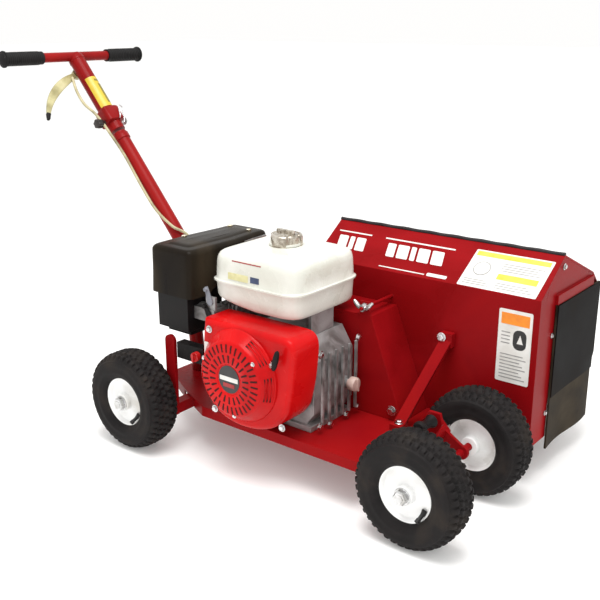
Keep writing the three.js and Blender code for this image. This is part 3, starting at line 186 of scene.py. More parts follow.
tyre_rubber = coating("tyre_rubber", [(0.009, 0.008, 0.008), (0.014, 0.012, 0.012), (0.026, 0.021, 0.018)],
                      patch=18, grain=1400, depth=0.05, gloss=(0.55, 0.75), specular=0.12)
WHEELS = ["rear_right", "rear_left", "front_right", "front_left"]
TREAD_PITCHES = 42
TREAD_STEPS = TREAD_PITCHES * 9
TREAD_DEPTH, SHOULDER, BEAD_ANGLE = 0.0052, 0.0325, 147
RIB_HEIGHT, RIB_WAVES = 0.0006, 2400
for wheel in WHEELS:
    low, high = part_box(wheel + "_tyre")
    middle, radius, half = (low + high) / 2, (high.z - low.z) / 2, (high.y - low.y) / 2
    sweep = np.radians(np.linspace(-BEAD_ANGLE, BEAD_ANGLE, 77))
    across = half * np.sign(np.sin(sweep)) * np.abs(np.sin(sweep)) ** 0.72
    height = radius - SHOULDER + SHOULDER * np.sign(np.cos(sweep)) * np.abs(np.cos(sweep)) ** 0.62
    ribs = RIB_HEIGHT * np.sin(height * RIB_WAVES) * (height > radius * 0.58) * (height < radius * 0.8)
    across += np.sign(across) * ribs
    rows = turned(np.column_stack([height, across]), middle, TREAD_STEPS)
    turn = np.linspace(0, TREAD_PITCHES, TREAD_STEPS, endpoint=False)[None, :]
    lane = (across / half * 2.75)[:, None]
    nearest = np.round(lane)
    along = (turn + 0.5 * (nearest % 2) + 0.12 * np.abs(lane)) % 1 - 0.5
    block = np.clip((0.37 - np.abs(lane - nearest)) / 0.08, 0, 1) * np.clip((0.34 - np.abs(along)) / 0.07, 0,
                                                                            1)
    on_tread = np.clip((height - radius * 0.86) / (radius * 0.05), 0, 1)[:, None]
    sunk = TREAD_DEPTH * on_tread * (1 - block)
    angle = turn / TREAD_PITCHES * 2 * np.pi
    spoke = np.stack([np.cos(angle), 0 * turn, np.sin(angle)], -1)
    rows -= sunk[..., None] * spoke
    seat = turned([(radius * 0.45, half * 0.35), (radius * 0.45, -half * 0.35)], middle, TREAD_STEPS)
    piece(wheel + "_turf_tyre", [skin(np.concatenate([rows, seat]), loop=True)], wheel + "_wheel",
          tyre_rubber, [wheel + "_tyre"], crease=50)

# ---- Rims, valves and axle nuts ----
# White enamelled rims pressed from sheet steel, with a rolled lip and a shallow dish on both sides.
# A rubber valve stands in each dish, and a plated nut and washer hold each hub on its axle.
wheel_white = coating("wheel_white", [(0.62, 0.6, 0.56), (0.86, 0.86, 0.85), (0.9, 0.9, 0.9)], patch=9,
                      grain=500, depth=0.02, gloss=(0.22, 0.4), coat=0.3)
valve_rubber = coating("valve_rubber", [(0.006, 0.006, 0.006), (0.02, 0.018, 0.018)], patch=60, grain=900,
                       specular=0.3)
bright_zinc = coating("bright_zinc", [(0.38, 0.37, 0.35), (0.6, 0.6, 0.6), (0.75, 0.75, 0.76)], patch=40,
                      grain=900, gloss=(0.16, 0.34), metal=1.0)
HALF_RIM = [(0.0084, 0.038), (0.0185, 0.038), (0.02, 0.0365), (0.02, 0.0262), (0.0212, 0.0245),
            (0.03, 0.0222), (0.04, 0.0205), (0.047, 0.0202), (0.0505, 0.0215), (0.053, 0.025),
            (0.0552, 0.029), (0.058, 0.0308), (0.0608, 0.0308), (0.0625, 0.0294), (0.0622, 0.0276),
            (0.0596, 0.0262), (0.056, 0.0236), (0.053, 0.0196), (0.049, 0.016)]
VALVE_STEM = [(0, 0), (0.0075, 0), (0.0062, 0.004), (0.0042, 0.01), (0.004, 0.019), (0.005, 0.0195),
              (0.005, 0.027), (0, 0.028)]
HUB_WASHER = [(0, 0), (0.0175, 0), (0.0175, 0.0022), (0.0168, 0.003), (0, 0.003)]
HUB_NUT = [(0, 0.0028), (0.015, 0.0028), (0.015, 0.0105), (0.0132, 0.0124), (0.009, 0.0126),
           (0.0085, 0.0136), (0, 0.0138)]
DISH_DEPTH, HUB_END = 0.0205, 0.0382


def towards(axis):
    """Three unit vectors of which the last is the given axis."""
    w = np.asarray(axis, float) / np.linalg.norm(axis)
    u = np.cross(w, [0, 0, 1] if abs(w[2]) < 0.9 else [1, 0, 0])
    u /= np.linalg.norm(u)
    return np.stack([u, np.cross(w, u), w])


def stub(profile, place, axis, sides=24):
    """A profile of (radius, height) turned about an axis through a place; few sides give a hexagon."""
    return turned(profile, (0, 0, 0), sides, "Z") @ towards(axis) + np.asarray(place, float)


def bolt(place, axis, r):
    """Washer, chamfered hexagon head and a rounded middle, standing on a face."""
    washer = [(0.0, 0.0), (r * 1.45, 0.0), (r * 1.45, r * 0.16), (r * 1.38, r * 0.22), (0.0, r * 0.22)]
    head = [(0.0, r * 0.2), (r, r * 0.2), (r, r * 0.8), (r * 0.86, r * 0.92), (0.0, r * 0.95)]
    return [skin(stub(washer, place, axis, 20), caps=False), skin(stub(head, place, axis, 6), caps=False)]


def bolts(name, heads, body="chassis", replaces=()):
    """One piece of plated bolt heads, each given by its place, its axis and its size."""
    piece(name, [part for head in heads for part in bolt(*head)], body, bright_zinc, replaces)


for wheel in WHEELS:
    low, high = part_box(wheel + "_rim")
    middle = (low + high) / 2
    outward = 1 if "left" in wheel else -1
    profile = HALF_RIM + [(r, -y) for r, y in reversed(HALF_RIM)]
    piece(wheel + "_steel_rim", [skin(turned(profile, middle, 72), loop=True)], wheel + "_wheel",
          wheel_white, [wheel + "_rim"], crease=32)
    foot = np.array(middle) + [0.04, outward * DISH_DEPTH, -0.026]
    stem = stub(VALVE_STEM, foot, (-0.1, outward * 0.5, -0.3))
    piece(wheel + "_valve", [skin(stem, caps=False)], wheel + "_wheel", valve_rubber)
    hub = np.array(middle) + [0, outward * HUB_END, 0]
    washer = skin(stub(HUB_WASHER, hub, (0, outward, 0), 28), caps=False)
    nut = skin(stub(HUB_NUT, hub, (0, outward, 0), 6), caps=False)
    held_by = "front_axle" if "front" in wheel else "chassis"
    piece(wheel + "_axle_nut", [washer, nut], held_by, bright_zinc)

# ---- Painted steel frame ----
# Deck, axle frames, cutter hood, belt guard, brace and deflector are bent and welded steel sheet and
# bar under one glossy red powder coat. A small bevel eases their bent edges.
frame_red = coating("frame_red", [(0.19, 0.003, 0.004), (0.24, 0.004, 0.006), (0.28, 0.005, 0.006)],
                    patch=4.0, grain=420, depth=0.035, gloss=(0.24, 0.42), specular=0.045, warp=1.0)


def repaint(node, finish, easing):
    """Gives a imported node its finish, and eases its sharp edges by a bevel of the given width."""
    shown = nodes[node]
    if not shown.material_slots:
        shown.data.materials.append(finish)
    for holder in shown.material_slots:
        holder.link = "OBJECT"
        holder.material = finish
    weld = shown.modifiers.new("weld", "WELD")
    weld.merge_threshold = 0.00002
    ease = shown.modifiers.new("ease", "BEVEL")
    ease.width, ease.segments = easing, 2
    ease.limit_method, ease.angle_limit = "ANGLE", math.radians(32)


PAINTED = ["deck_plate", "rear_axle_frame", "front_axle_arm", "cutter_housing", "side_deflector",
           "belt_guard", "diagonal_brace"]
BENT_EDGE = 0.0009
for node in PAINTED:
    repaint(node, frame_red, BENT_EDGE)

# ---- Hood graphics ----
# Cut vinyl stuck on the hood's sloping panel: thin lines, a row of slanted white blocks and a small
# tab. There is no lettering.
vinyl_white = coating("vinyl_white", [(0.62, 0.6, 0.56), (0.74, 0.73, 0.7)], patch=30, grain=600, depth=0.02)
hood_low, hood_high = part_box("cutter_housing")
WALL_Y, BEND_Z = 0.036, 0.424
UP_SLOPE = np.array([0, 0.108, 0.076]) / math.hypot(0.108, 0.076)
SLOPE_OUT = np.array([0, -0.076, 0.108]) / math.hypot(0.108, 0.076)


def on_slope(x, t, rise=0.0):
    """A point of the sloping panel: x along the machine, t up the slope from the bend, rise off the paint."""
    return np.array([x, WALL_Y, BEND_Z]) + UP_SLOPE * t + SLOPE_OUT * rise


def on_wall(x, z, rise=0.0):
    """A point on the hood's near wall."""
    return np.array([x, WALL_Y - rise, z])


def sticker(outline, surface, thick=0.0005, base=0.0002):
    """A flat shape given by its outline on a surface, with a little thickness."""
    return skin(np.array([[surface(a, b, base) for a, b in outline],
                          [surface(a, b, base + thick) for a, b in outline]]))


def rectangle(x0, x1, y0, y1, r=0.0, lean=0.0):
    """A rectangle with rounded corners, sheared sideways by lean."""
    turn = np.linspace(0, np.pi / 2, 5) if r else np.array([0.0])
    corners = [(x1 - r, y1 - r, 0), (x0 + r, y1 - r, 1), (x0 + r, y0 + r, 2), (x1 - r, y0 + r, 3)]
    points = np.concatenate([np.column_stack([cx + r * np.cos(turn + k * np.pi / 2),
                                              cy + r * np.sin(turn + k * np.pi / 2)]) for cx, cy,
                             k in corners])
    points[:, 0] += lean * (points[:, 1] - y0)
    return points


PLATE, PRINT, OVERPRINT = (0.0005, 0.0002), (0.0002, 0.0008), (0.0002, 0.0011)


def laid(name, outlines, surface, finish, layer):
    """Flat shapes laid on the hood as one layer, which is its thickness and its height off the paint."""
    shapes = [sticker(outline, surface, *layer) for outline in outlines]
    piece(name, shapes, "chassis", finish)


STRIPES = [(0.056, 0.15, 0.092, 0.0958), (0.19, 0.375, 0.092, 0.0958), (0.216, 0.336, 0.0085, 0.0112),
           (0.342, 0.392, 0.0075, 0.0165, 0.003)]
BLOCKS = [(0.076, 0.026), (0.108, 0.013), (0.127, 0.026), (0.216, 0.022), (0.244, 0.03), (0.28, 0.013),
          (0.299, 0.03), (0.335, 0.03)]
BLOCK_LOW, BLOCK_HIGH, BLOCK_CORNER, BLOCK_LEAN = 0.041, 0.081, 0.003, -0.27
shapes = [rectangle(*stripe) for stripe in STRIPES]
shapes += [rectangle(start, start + width, BLOCK_LOW, BLOCK_HIGH, BLOCK_CORNER, BLOCK_LEAN)
           for start, width in BLOCKS]
laid("hood_stripes", shapes, on_slope, vinyl_white, PLATE)

# ---- Hood labels ----
# Two printed vinyl plates are stuck to the hood, a wide one on the slope and a tall one on the wall.
# Their print is plain bars, a disc and an arrow head, each a thin layer over the plate.
def printed(name, tones, patch=50.0, grain=700.0, gloss=(0.35, 0.5)):
    """The finish of a flat printed colour on vinyl."""
    return coating(name, tones, patch=patch, grain=grain, depth=0.01, gloss=gloss)


def text_bars(x0, x1, z0, pitch, count, ragged, height, indent=0.0):
    """Level bars in place of print: each stands one pitch above the last, and its right end is ragged."""
    return [rectangle(x0 + indent * (k % 2), x1 - ragged * (k % 3), z0 + pitch * k, z0 + height + pitch * k)
            for k in range(count)]


def disc(x, z, r):
    """The outline of a round shape about a middle."""
    turn = np.linspace(0, 2 * np.pi, 40, endpoint=False)
    return np.column_stack([x + r * np.cos(turn), z + r * np.sin(turn)])


label_yellow = printed("label_yellow", [(0.5, 0.45, 0.03), (0.6, 0.56, 0.07)])
label_orange = printed("label_orange", [(0.72, 0.2, 0.01), (0.85, 0.27, 0.015)])
label_grey = printed("label_grey", [(0.24, 0.24, 0.23), (0.36, 0.35, 0.34)], 90, gloss=(0.4, 0.5))
label_black = printed("label_black", [(0.012, 0.012, 0.012), (0.03, 0.028, 0.028)])
BAR, WALL_BAR = 0.0018, 0.0025
slope_print = text_bars(0.43, 0.492, 0.01, 0.006, 3, 0.006, BAR, indent=0.002)
slope_print += text_bars(0.505, 0.59, 0.01, 0.0065, 3, 0.008, BAR)
slope_print += text_bars(0.5, 0.594, 0.058, 0.0065, 4, 0.007, BAR) + [disc(0.458, 0.056, 0.02)]
wall_print = text_bars(0.535, 0.594, 0.24, 0.0075, 8, 0.007, WALL_BAR)
wall_print += text_bars(0.535, 0.555, 0.318, 0.008, 4, 0.0, WALL_BAR)
yellow_fields = [rectangle(0.429, 0.6, 0.0905, 0.1035, 0.001), rectangle(0.5, 0.592, 0.034, 0.05, 0.001)]
arrow = np.array([(0.571, 0.322), (0.585, 0.322), (0.578, 0.342)])
laid("slope_label", [rectangle(0.421, 0.603, 0.002, 0.1075, 0.003, 0.03)], on_slope, vinyl_white, PLATE)
laid("slope_label_yellow", yellow_fields, on_slope, label_yellow, PRINT)
laid("slope_label_print", slope_print, on_slope, label_grey, PRINT)
laid("slope_label_mark", [disc(0.458, 0.056, 0.0175)], on_slope, vinyl_white, OVERPRINT)
laid("wall_label", [rectangle(0.527, 0.603, 0.231, 0.3935, 0.004)], on_wall, vinyl_white, PLATE)
laid("wall_label_header", [rectangle(0.533, 0.597, 0.361, 0.386, 0.001)], on_wall, label_orange, PRINT)
laid("wall_label_sign", [rectangle(0.562, 0.592, 0.308, 0.352, 0.013)], on_wall, label_black, PRINT)
laid("wall_label_arrow", [arrow], on_wall, vinyl_white, OVERPRINT)
laid("wall_label_print", wall_print, on_wall, label_grey, PRINT)

# ---- Hood ridge shade and bolts ----
# A thin black rod along the ridge seam is painted shade: it stands for the dark band where the hood's far
# slope falls away. Plated hexagon bolts with washers stand at the ends of the brace and at the hood's front
# corner.
ridge_shade_black = coating("ridge_shade_black", [(0.008, 0.007, 0.008), (0.022, 0.016, 0.018)], patch=40, grain=900,
                        specular=0.3, gloss=(0.45, 0.6))


def rod(path, radius, sides=16, side_hint=(0, 1, 0), caps=True):
    """A round section carried along a line of points; the radius may change along it."""
    path = np.asarray(path, float)
    tangent = np.gradient(path, axis=0)
    tangent /= np.linalg.norm(tangent, axis=1)[:, None]
    u = np.cross(tangent, side_hint)
    u /= np.linalg.norm(u, axis=1)[:, None]
    v = np.cross(tangent, u)
    angle = np.linspace(0, 2 * np.pi, sides, endpoint=False)
    size = np.broadcast_to(np.asarray(radius, float), (len(path),))[:, None, None]
    ring_points = np.cos(angle)[None, :, None] * u[:, None, :] + np.sin(angle)[None, :, None] * v[:, None, :]
    return skin(path[:, None, :] + size * ring_points, caps=caps)


# The ridge rod is painted shade: a dark band with small ripples along the seam.
RIDGE_Y, RIDGE_Z, RIPPLE = 0.1445, 0.4998, 0.0006
ridge_x = np.linspace(hood_low.x, hood_high.x - 0.006, 40)
ridge = np.column_stack([ridge_x, np.full(40, RIDGE_Y), RIDGE_Z + RIPPLE * np.sin(ridge_x * 330)])
piece("ridge_painted_shade", [rod(ridge, 0.0046, 10)], "chassis", ridge_shade_black)
STRIP_FACE = hood_high.x - 0.0045
bolts("hood_bolts", [((0.4015, 0.0195, 0.303), (0, -1, 0), 0.0075),
                     ((STRIP_FACE - 0.0012, 0.145, 0.474), (1, 0, 0), 0.005),
                     ((0.373, -0.099, 0.1318), (0, 0, 1), 0.0075)])

# ---- Rubber flap ----
# A black rubber sheet is bolted under the strip at the hood's mouth, with a second layer over its
# upper part. It hangs a little wavy, and its lower part is dusty from the ground.
dusty_rubber = coating("dusty_rubber", [(0.016, 0.012, 0.008), (0.04, 0.031, 0.021), (0.062, 0.05, 0.036)],
                       patch=9, grain=300, depth=0.06, gloss=(0.5, 0.7), specular=0.03)
flap_rubber = coating("flap_rubber", [(0.003, 0.003, 0.003), (0.005, 0.004, 0.004), (0.011, 0.008, 0.006)],
                      patch=5, grain=500, depth=0.05, gloss=(0.38, 0.55), specular=0.02)
SHEET_THICK, WAVE, UPPER_LEVELS = 0.0044, 0.004, 18
low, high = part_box("front_flap")
levels = np.linspace(high.z, low.z, 28)
sway = np.linspace(low.y, high.y, 20)
drop = (high.z - levels)[:, None] / (high.z - low.z)
front = high.x - 0.0008 + WAVE * drop**3 * np.sin(sway * 26)
narrow = low.y + (sway - low.y) * (1 - 0.03 * (drop > 0.55))
face = np.stack([front, narrow, levels[:, None] + 0 * front], -1)


def layer(outer, thick):
    """A closed sheet between a grid of points and the same grid moved back by the thickness."""
    inner = outer - [thick, 0, 0]
    return skin(np.concatenate([outer, inner[:, ::-1]], axis=1))


piece("hanging_flap", [layer(face, SHEET_THICK)], "flap", dusty_rubber, ["front_flap"])
piece("flap_upper_layer", [layer(face[:UPPER_LEVELS] + [0.0026, 0, 0], 0.002)], "flap",
      flap_rubber)
STRIP_HOLES = [(0.0004, 0.121, 0.407), (0.0004, 0.2, 0.408), (0.0004, 0.278, 0.408), (0.0008, 0.108, 0.33),
               (0.0008, 0.108, 0.15)]
bolts("strip_bolts", [((STRIP_FACE - sunk, y, z), (1, 0, 0), 0.0042) for sunk, y, z in STRIP_HOLES])

# ---- Guard fasteners ----
# A cast zinc wing nut runs on the guard's stud, and a plated hexagon bolt with a washer holds the
# guard's foot. The nut unscrews by hand to open the guard.
NUT_BOSS = [(0.0045, 0), (0.0105, 0), (0.0095, 0.005), (0.0078, 0.012), (0.0045, 0.0125)]
low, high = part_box("guard_wing_nut")
nut_x, nut_face = (low.x + high.x) / 2, high.y
wings = []
for side in (-1, 1):
    t = np.linspace(0, 1, 14)
    line = np.column_stack([nut_x + side * (0.004 + 0.02 * t), np.full(14, nut_face - 0.007),
                            0.366 + 0.016 * t**1.6])
    wings.append(rod(line, 0.0022 + 0.0036 * np.sin(np.pi * np.clip(t, 0.05, 0.97)) ** 0.7, 12))
boss = stub(NUT_BOSS, (nut_x, nut_face, 0.367), (0, -1, 0))
piece("wing_nut", [skin(boss, loop=True)] + wings, "wing_nut", bright_zinc, ["guard_wing_nut"])
low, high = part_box("guard_bolt")
foot_bolt = ((low.x + high.x) / 2, high.y, (low.z + high.z) / 2), (0, -1, 0), 0.0085
bolts("guard_foot_bolt", [foot_bolt], replaces=["guard_bolt"])

# ---- Depth lock and pivot ----
# A turned plated pin with a moulded black plastic spool locks the swinging front axle. The axle
# itself swings on a large plated pivot bolt.
black_plastic = coating("black_plastic", [(0.004, 0.0035, 0.0035), (0.01, 0.008, 0.008)], patch=30,
                        grain=1100, depth=0.04, gloss=(0.35, 0.5), specular=0.15)
low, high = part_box("depth_lock_pin")
lock_x, lock_z = (low.x + high.x) / 2, (low.z + high.z) / 2
SPOOL = [(0, 0), (0.012, 0), (0.015, 0.003), (0.0155, 0.008), (0.011, 0.015), (0.0095, 0.024),
         (0.0095, 0.036), (0.013, 0.045), (0.0145, 0.05), (0.0125, 0.053), (0, 0.053)]
spool = turned([(r, low.y + y) for r, y in SPOOL], (lock_x, 0, lock_z), 36)
pin = turned([(0, low.y + 0.05), (0.006, low.y + 0.05), (0.006, high.y - 0.001), (0.005, high.y),
              (0, high.y)], (lock_x, 0, lock_z), 24)
piece("lock_spool", [skin(spool, caps=False)], "depth_lock", black_plastic,
      ["depth_lock_pin"])
piece("lock_pin", [skin(pin, caps=False)], "depth_lock", bright_zinc)
repaint("front_pivot_pin", bright_zinc, 0.0006)

# ---- Fuel tank ----
# Two moulded white plastic halves are welded at a seam round the waist. The crown swells softly to
# the filler neck.
tank_white = coating("tank_white", [(0.57, 0.57, 0.5), (0.66, 0.66, 0.6), (0.72, 0.72, 0.66)], patch=8,
                     grain=260, depth=0.06, gloss=(0.24, 0.4), coat=0.25)


def rounded_ring(cx, cy, half_x, half_y, power, z, steps=128):
    """A level outline |x/a|^p + |y/b|^p = 1 with its middle at cx, cy; the points crowd into the corners."""
    turn = np.linspace(0, 2 * np.pi, steps, endpoint=False) + 1e-6
    c, s = np.cos(turn), np.sin(turn)
    x = cx + half_x * np.sign(c) * np.abs(c) ** (2 / power)
    y = cy + half_y * np.sign(s) * np.abs(s) ** (2 / power)
    return np.stack([x, y, np.full(steps, z)], -1)


low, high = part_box("fuel_tank")
cx, cy = (low.x + high.x) / 2, (low.y + high.y) / 2
half_x, half_y = (high.x - low.x) / 2, (high.y - low.y) / 2
TANK_POWER, CROWN_Z, CROWN_RISE = 7.0, 0.488, 0.0104
TANK_RINGS = [(0.369, 0.6), (0.3692, 0.88), (0.3706, 0.915), (0.3735, 0.935), (0.38, 0.948), (0.4, 0.956),
              (0.4185, 0.962), (0.4213, 0.972), (0.4225, 0.996), (0.4262, 0.998), (0.4276, 0.974),
              (0.43, 0.963), (0.45, 0.957), (0.466, 0.95), (0.474, 0.941), (0.48, 0.926), (0.4848, 0.902),
              (0.4882, 0.868), (0.4904, 0.82), (0.4925, 0.74), (0.4948, 0.6), (0.4965, 0.45), (0.4978, 0.3),
              (0.4984, 0.1)]
powers = [TANK_POWER - 3.5 * max(z - CROWN_Z, 0) / CROWN_RISE for z, k in TANK_RINGS]
rings = np.stack([rounded_ring(cx, cy, half_x * k, half_y * k, power, z)
                  for (z, k), power in zip(TANK_RINGS, powers)])
underside = np.clip((0.415 - rings[..., 2]) / 0.046, 0, 1) * np.clip((0.075 - rings[..., 0]) / 0.1, 0, 1)
rings[..., 2] += 0.017 * underside
neck = turned([(0.034, 0.49), (0.034, 0.4985), (0.0365, 0.5), (0.0365, 0.504), (0.024, 0.504)], (cx, cy, 0),
              48, "Z")
piece("moulded_tank", [skin(rings), skin(neck)], "chassis", tank_white, ["fuel_tank"],
      crease=30)

# ---- Fuel cap ----
# A cap pressed from sheet steel in dulled nickel plate, with a domed top, three finger lugs round
# the skirt and a raised grip bar. It turns off the filler neck by hand.
low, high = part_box("fuel_cap")
turn = np.linspace(0, 2 * np.pi, 180, endpoint=False)
CAP_ROWS = [(0.8, 0.0), (0.965, 0.0), (1.0, 0.03), (1.0, 0.55), (0.985, 0.66), (0.93, 0.74), (0.86, 0.77),
            (0.8, 0.765), (0.77, 0.72), (0.7, 0.74), (0.5, 0.8), (0.25, 0.83), (0.05, 0.84)]
cap_y, cap_floor = (low.y + high.y) / 2, low.z
cap_radius, cap_height = (high.x - low.x) / 2, high.z - low.z
LUG_DEPTH = 0.13
lugs = LUG_DEPTH * np.clip(np.cos(turn * 3 + 0.9) * 2.2 + 0.4, 0, 1)
cap_rows = []
for r, h in CAP_ROWS:
    reach = cap_radius * (r - lugs * (r > 0.8) * (h > 0.02))
    level = np.full(180, cap_floor + cap_height * h)
    cap_rows.append(np.stack([cx + reach * np.cos(turn), cap_y + reach * np.sin(turn), level], -1))


def on_cap(x, y, rise):
    """A point over the cap's middle."""
    return np.array([cx + x, cap_y + y, cap_floor + rise])


grip = sticker(rectangle(-0.024, 0.024, -0.0045, 0.0045, 0.003), on_cap, cap_height * 0.28, cap_height * 0.72)
nickel = coating("nickel_plate", [(0.2, 0.16, 0.12), (0.48, 0.43, 0.36), (0.7, 0.66, 0.58)], patch=45,
                 depth=0.04, gloss=(0.16, 0.36), metal=0.9, warp=2.0)
piece("lugged_fuel_cap", [skin(np.stack(cap_rows)), grip], "tank_cap", nickel, ["fuel_cap"])

# ---- Tank stickers ----
# Thin printed vinyl on the tank's near face: a red line and two small plain-coloured bars. Each is
# laid over the curve of the tank.
sticker_red = printed("sticker_red", [(0.22, 0.008, 0.01), (0.36, 0.015, 0.015)], 60)
sticker_blue = printed("sticker_blue", [(0.02, 0.035, 0.09), (0.04, 0.06, 0.14)], 60)
sticker_pale = printed("sticker_pale", [(0.55, 0.52, 0.25), (0.66, 0.63, 0.35)], 60)
level_z, level_k = np.array(TANK_RINGS).T


def on_tank(x, z, rise=0.0):
    """A point of the tank's near face: the ring at height z, read where it passes x."""
    k = np.interp(z, level_z, level_k)
    across = min(abs((x - cx) / (half_x * k)), 0.999)
    return np.array([x, cy - half_y * k * (1 - across**TANK_POWER) ** (1 / TANK_POWER) - rise, z])


def band(x0, x1, z0, z1, surface, steps=14):
    """A strip laid over a curved surface, sampled along its length so that it follows the curve."""
    sunk, raised = -0.0005, 0.0007
    xs = np.linspace(x0, x1, steps)
    edges = [(z0, sunk), (z0, raised), (z1, raised), (z1, sunk)]
    return skin(np.stack([[surface(x, z, rise) for x in xs] for z, rise in edges], axis=1))


for name, x0, x1, z0, z1, finish in [("tank_line", 0.036, 0.118, 0.4745, 0.4765, sticker_red),
                                     ("tank_bar_pale", 0.026, 0.083, 0.434, 0.449, sticker_pale),
                                     ("tank_bar_blue", 0.09, 0.114, 0.436, 0.449, sticker_blue)]:
    piece(name, [band(x0, x1, z0, z1, on_tank)], "chassis", finish)

# ---- Blower shroud ----
# Deep-drawn sheet steel in bright red gloss enamel, with a round eye behind the starter. It guides
# the fan's air over the engine and is held by three plated bolts.
engine_red = coating("engine_red", [(0.36, 0.003, 0.004), (0.5, 0.004, 0.005), (0.58, 0.006, 0.006)], patch=6,
                     grain=380, depth=0.02, gloss=(0.18, 0.32), specular=0.12, warp=0.8)
# Dark red for the recoil's slots and louvre gaps: painted shade where the openings show dark.
slot_painted_shade = coating("slot_painted_shade", [(0.03, 0.002, 0.002), (0.06, 0.003, 0.003)], patch=60, grain=900,
                       gloss=(0.6, 0.8), specular=0.2)
CRANK_X, CRANK_Z, BASE_Z = 0.109, 0.248, 0.117
SHROUD_FRONT, SHROUD_BACK = (corner.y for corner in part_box("blower_shroud"))
EYE_RADIUS, SHEET = 0.07, 0.002


def curve(a, b, c, steps=14):
    """Points of the quadratic curve from a to c that leans towards b."""
    t = np.linspace(0, 1, steps)[:, None]
    a, b, c = (np.asarray(p, float) for p in (a, b, c))
    return a * (1 - t) ** 2 + 2 * b * t * (1 - t) + c * t**2


def shroud_outline(i):
    """The shroud's outline in millimetres from the crank line and the engine's foot, drawn in by i."""
    left_top, left_low, foot = (-104 + i, 238 - i), (-96 + i, 52), (0, 9 + i)
    right_low, right_top, top = (128 - i, 76 + 0.4 * i), (148 - i, 206), (118, 239 - i)
    runs = [curve(left_top, (-122 + i, 130), left_low), curve(left_low, (-70 + i, 10 + i), foot),
            curve(foot, (96 - i, 10 + i), right_low), curve(right_low, (144 - i, 130), right_top),
            curve(right_top, (148 - i, 239 - i), top), curve(top, (0, 240.5 - i), left_top)]
    points = np.concatenate([run[:-1] for run in runs]) / 1000
    return np.column_stack([points[:, 0] + CRANK_X, points[:, 1] + BASE_Z])


def shroud_ring(inset, y):
    """The outline at one depth."""
    flat = shroud_outline(inset)
    return np.column_stack([flat[:, 0], np.full(len(flat), y), flat[:, 1]])


ring_count = len(shroud_outline(0))
corner_turn = np.linspace(0, np.pi / 2, 7)
shroud_rows = [shroud_ring(0, SHROUD_BACK), shroud_ring(0, SHROUD_BACK - 0.004)]
shroud_rows += [shroud_ring(13 * (1 - math.cos(a)), SHROUD_FRONT + 0.013 * (1 - math.sin(a)))
                for a in corner_turn]
outer_face = shroud_rows[-1]
spoke = outer_face[:, [0, 2]] - [CRANK_X, CRANK_Z]
bearing = np.arctan2(spoke[:, 1], spoke[:, 0])
eye = np.column_stack([CRANK_X + EYE_RADIUS * np.cos(bearing), np.full(ring_count, SHROUD_FRONT),
                       CRANK_Z + EYE_RADIUS * np.sin(bearing)])
shroud_rows += [outer_face * (1 - k) + eye * k for k in (0.25, 0.5, 0.75, 1.0)]
shroud_rows += [eye + [0, 0.004, 0]]
inner = [shroud_ring(2.0, SHROUD_BACK), shroud_ring(2.0, SHROUD_BACK - 0.004)]
inner += [shroud_ring(2 + 12 * (1 - math.cos(a)), SHROUD_FRONT + SHEET + 0.012 * (1 - math.sin(a)))
          for a in corner_turn]
shroud_rows += [eye * 0.02 + inner[-1] * 0.98] + inner[::-1]
piece("pressed_shroud", [skin(np.stack(shroud_rows), loop=True)], "chassis", engine_red,
      ["blower_shroud"], crease=35)


def on_front(y):
    """A surface facing the operator's right at the given y."""
    return lambda x, z, rise=0.0: np.array([x, y - rise, z])


SHROUD_HOLES = [(0.226, 0.16), (0.034, 0.15), (0.024, 0.334)]
bolts("shroud_bolts", [((x, SHROUD_FRONT - 0.0005, z), (0, -1, 0), 0.0058) for x, z in SHROUD_HOLES])
piece("shroud_label", [sticker(rectangle(0.0075, 0.0225, 0.266, 0.303, 0.002),
                               on_front(SHROUD_FRONT - 0.0002))], "chassis", vinyl_white)

# ---- Recoil starter cover ----
# A pressed red steel cup over the starter pulley, with a round sticker in its sunk middle. Its two rings of
# radial slots and the gaps between the louvre lips at its rim are thin dark red sheets: painted shade in place
# of openings.
# Plated bolts hold it on the shroud.
START_FRONT, START_BACK = (corner.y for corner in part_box("starter_cover"))
CUP_DEPTH, CUP_FACE = 0.0338, 0.031
CUP = [(0.104, 0.0), (0.104, -0.0015), (0.1025, -0.0035), (0.088, -0.0222), (0.0866, -0.025), (0.085, -0.028),
       (0.0825, -0.03), (0.078, -0.0314), (0.072, -0.0324), (0.064, -0.033), (0.054, -0.0336),
       (0.036, -0.0338), (0.0345, -0.033), (0.0335, -0.031), (0.03, -0.0304), (0.0, -0.0304)]
depth_scale = (START_BACK - START_FRONT) / CUP_DEPTH
cup_profile = [(r, START_BACK + y * depth_scale) for r, y in CUP]
piece("recoil_cup", [skin(turned(cup_profile, (CRANK_X, 0, CRANK_Z), 96), caps=False)], "chassis",
      engine_red, ["starter_cover"], crease=50)
cup_r, cup_y = np.array(cup_profile).T


def on_cup(r, angle, rise=0.0):
    """A point of the cup's front at a radius and an angle from the crank line."""
    y = np.interp(r, cup_r[::-1], cup_y[::-1]) - rise
    return np.array([CRANK_X + r * math.cos(angle), y, CRANK_Z + r * math.sin(angle)])


def arc_band(r0, r1, turn0, turn1, rise, thick):
    """A strip between two radii of the cup, following its slope."""
    turns = np.linspace(turn0, turn1, 9)
    return sticker(np.array([(r0, a) for a in turns] + [(r1, a) for a in turns[::-1]]), on_cup, thick, rise)


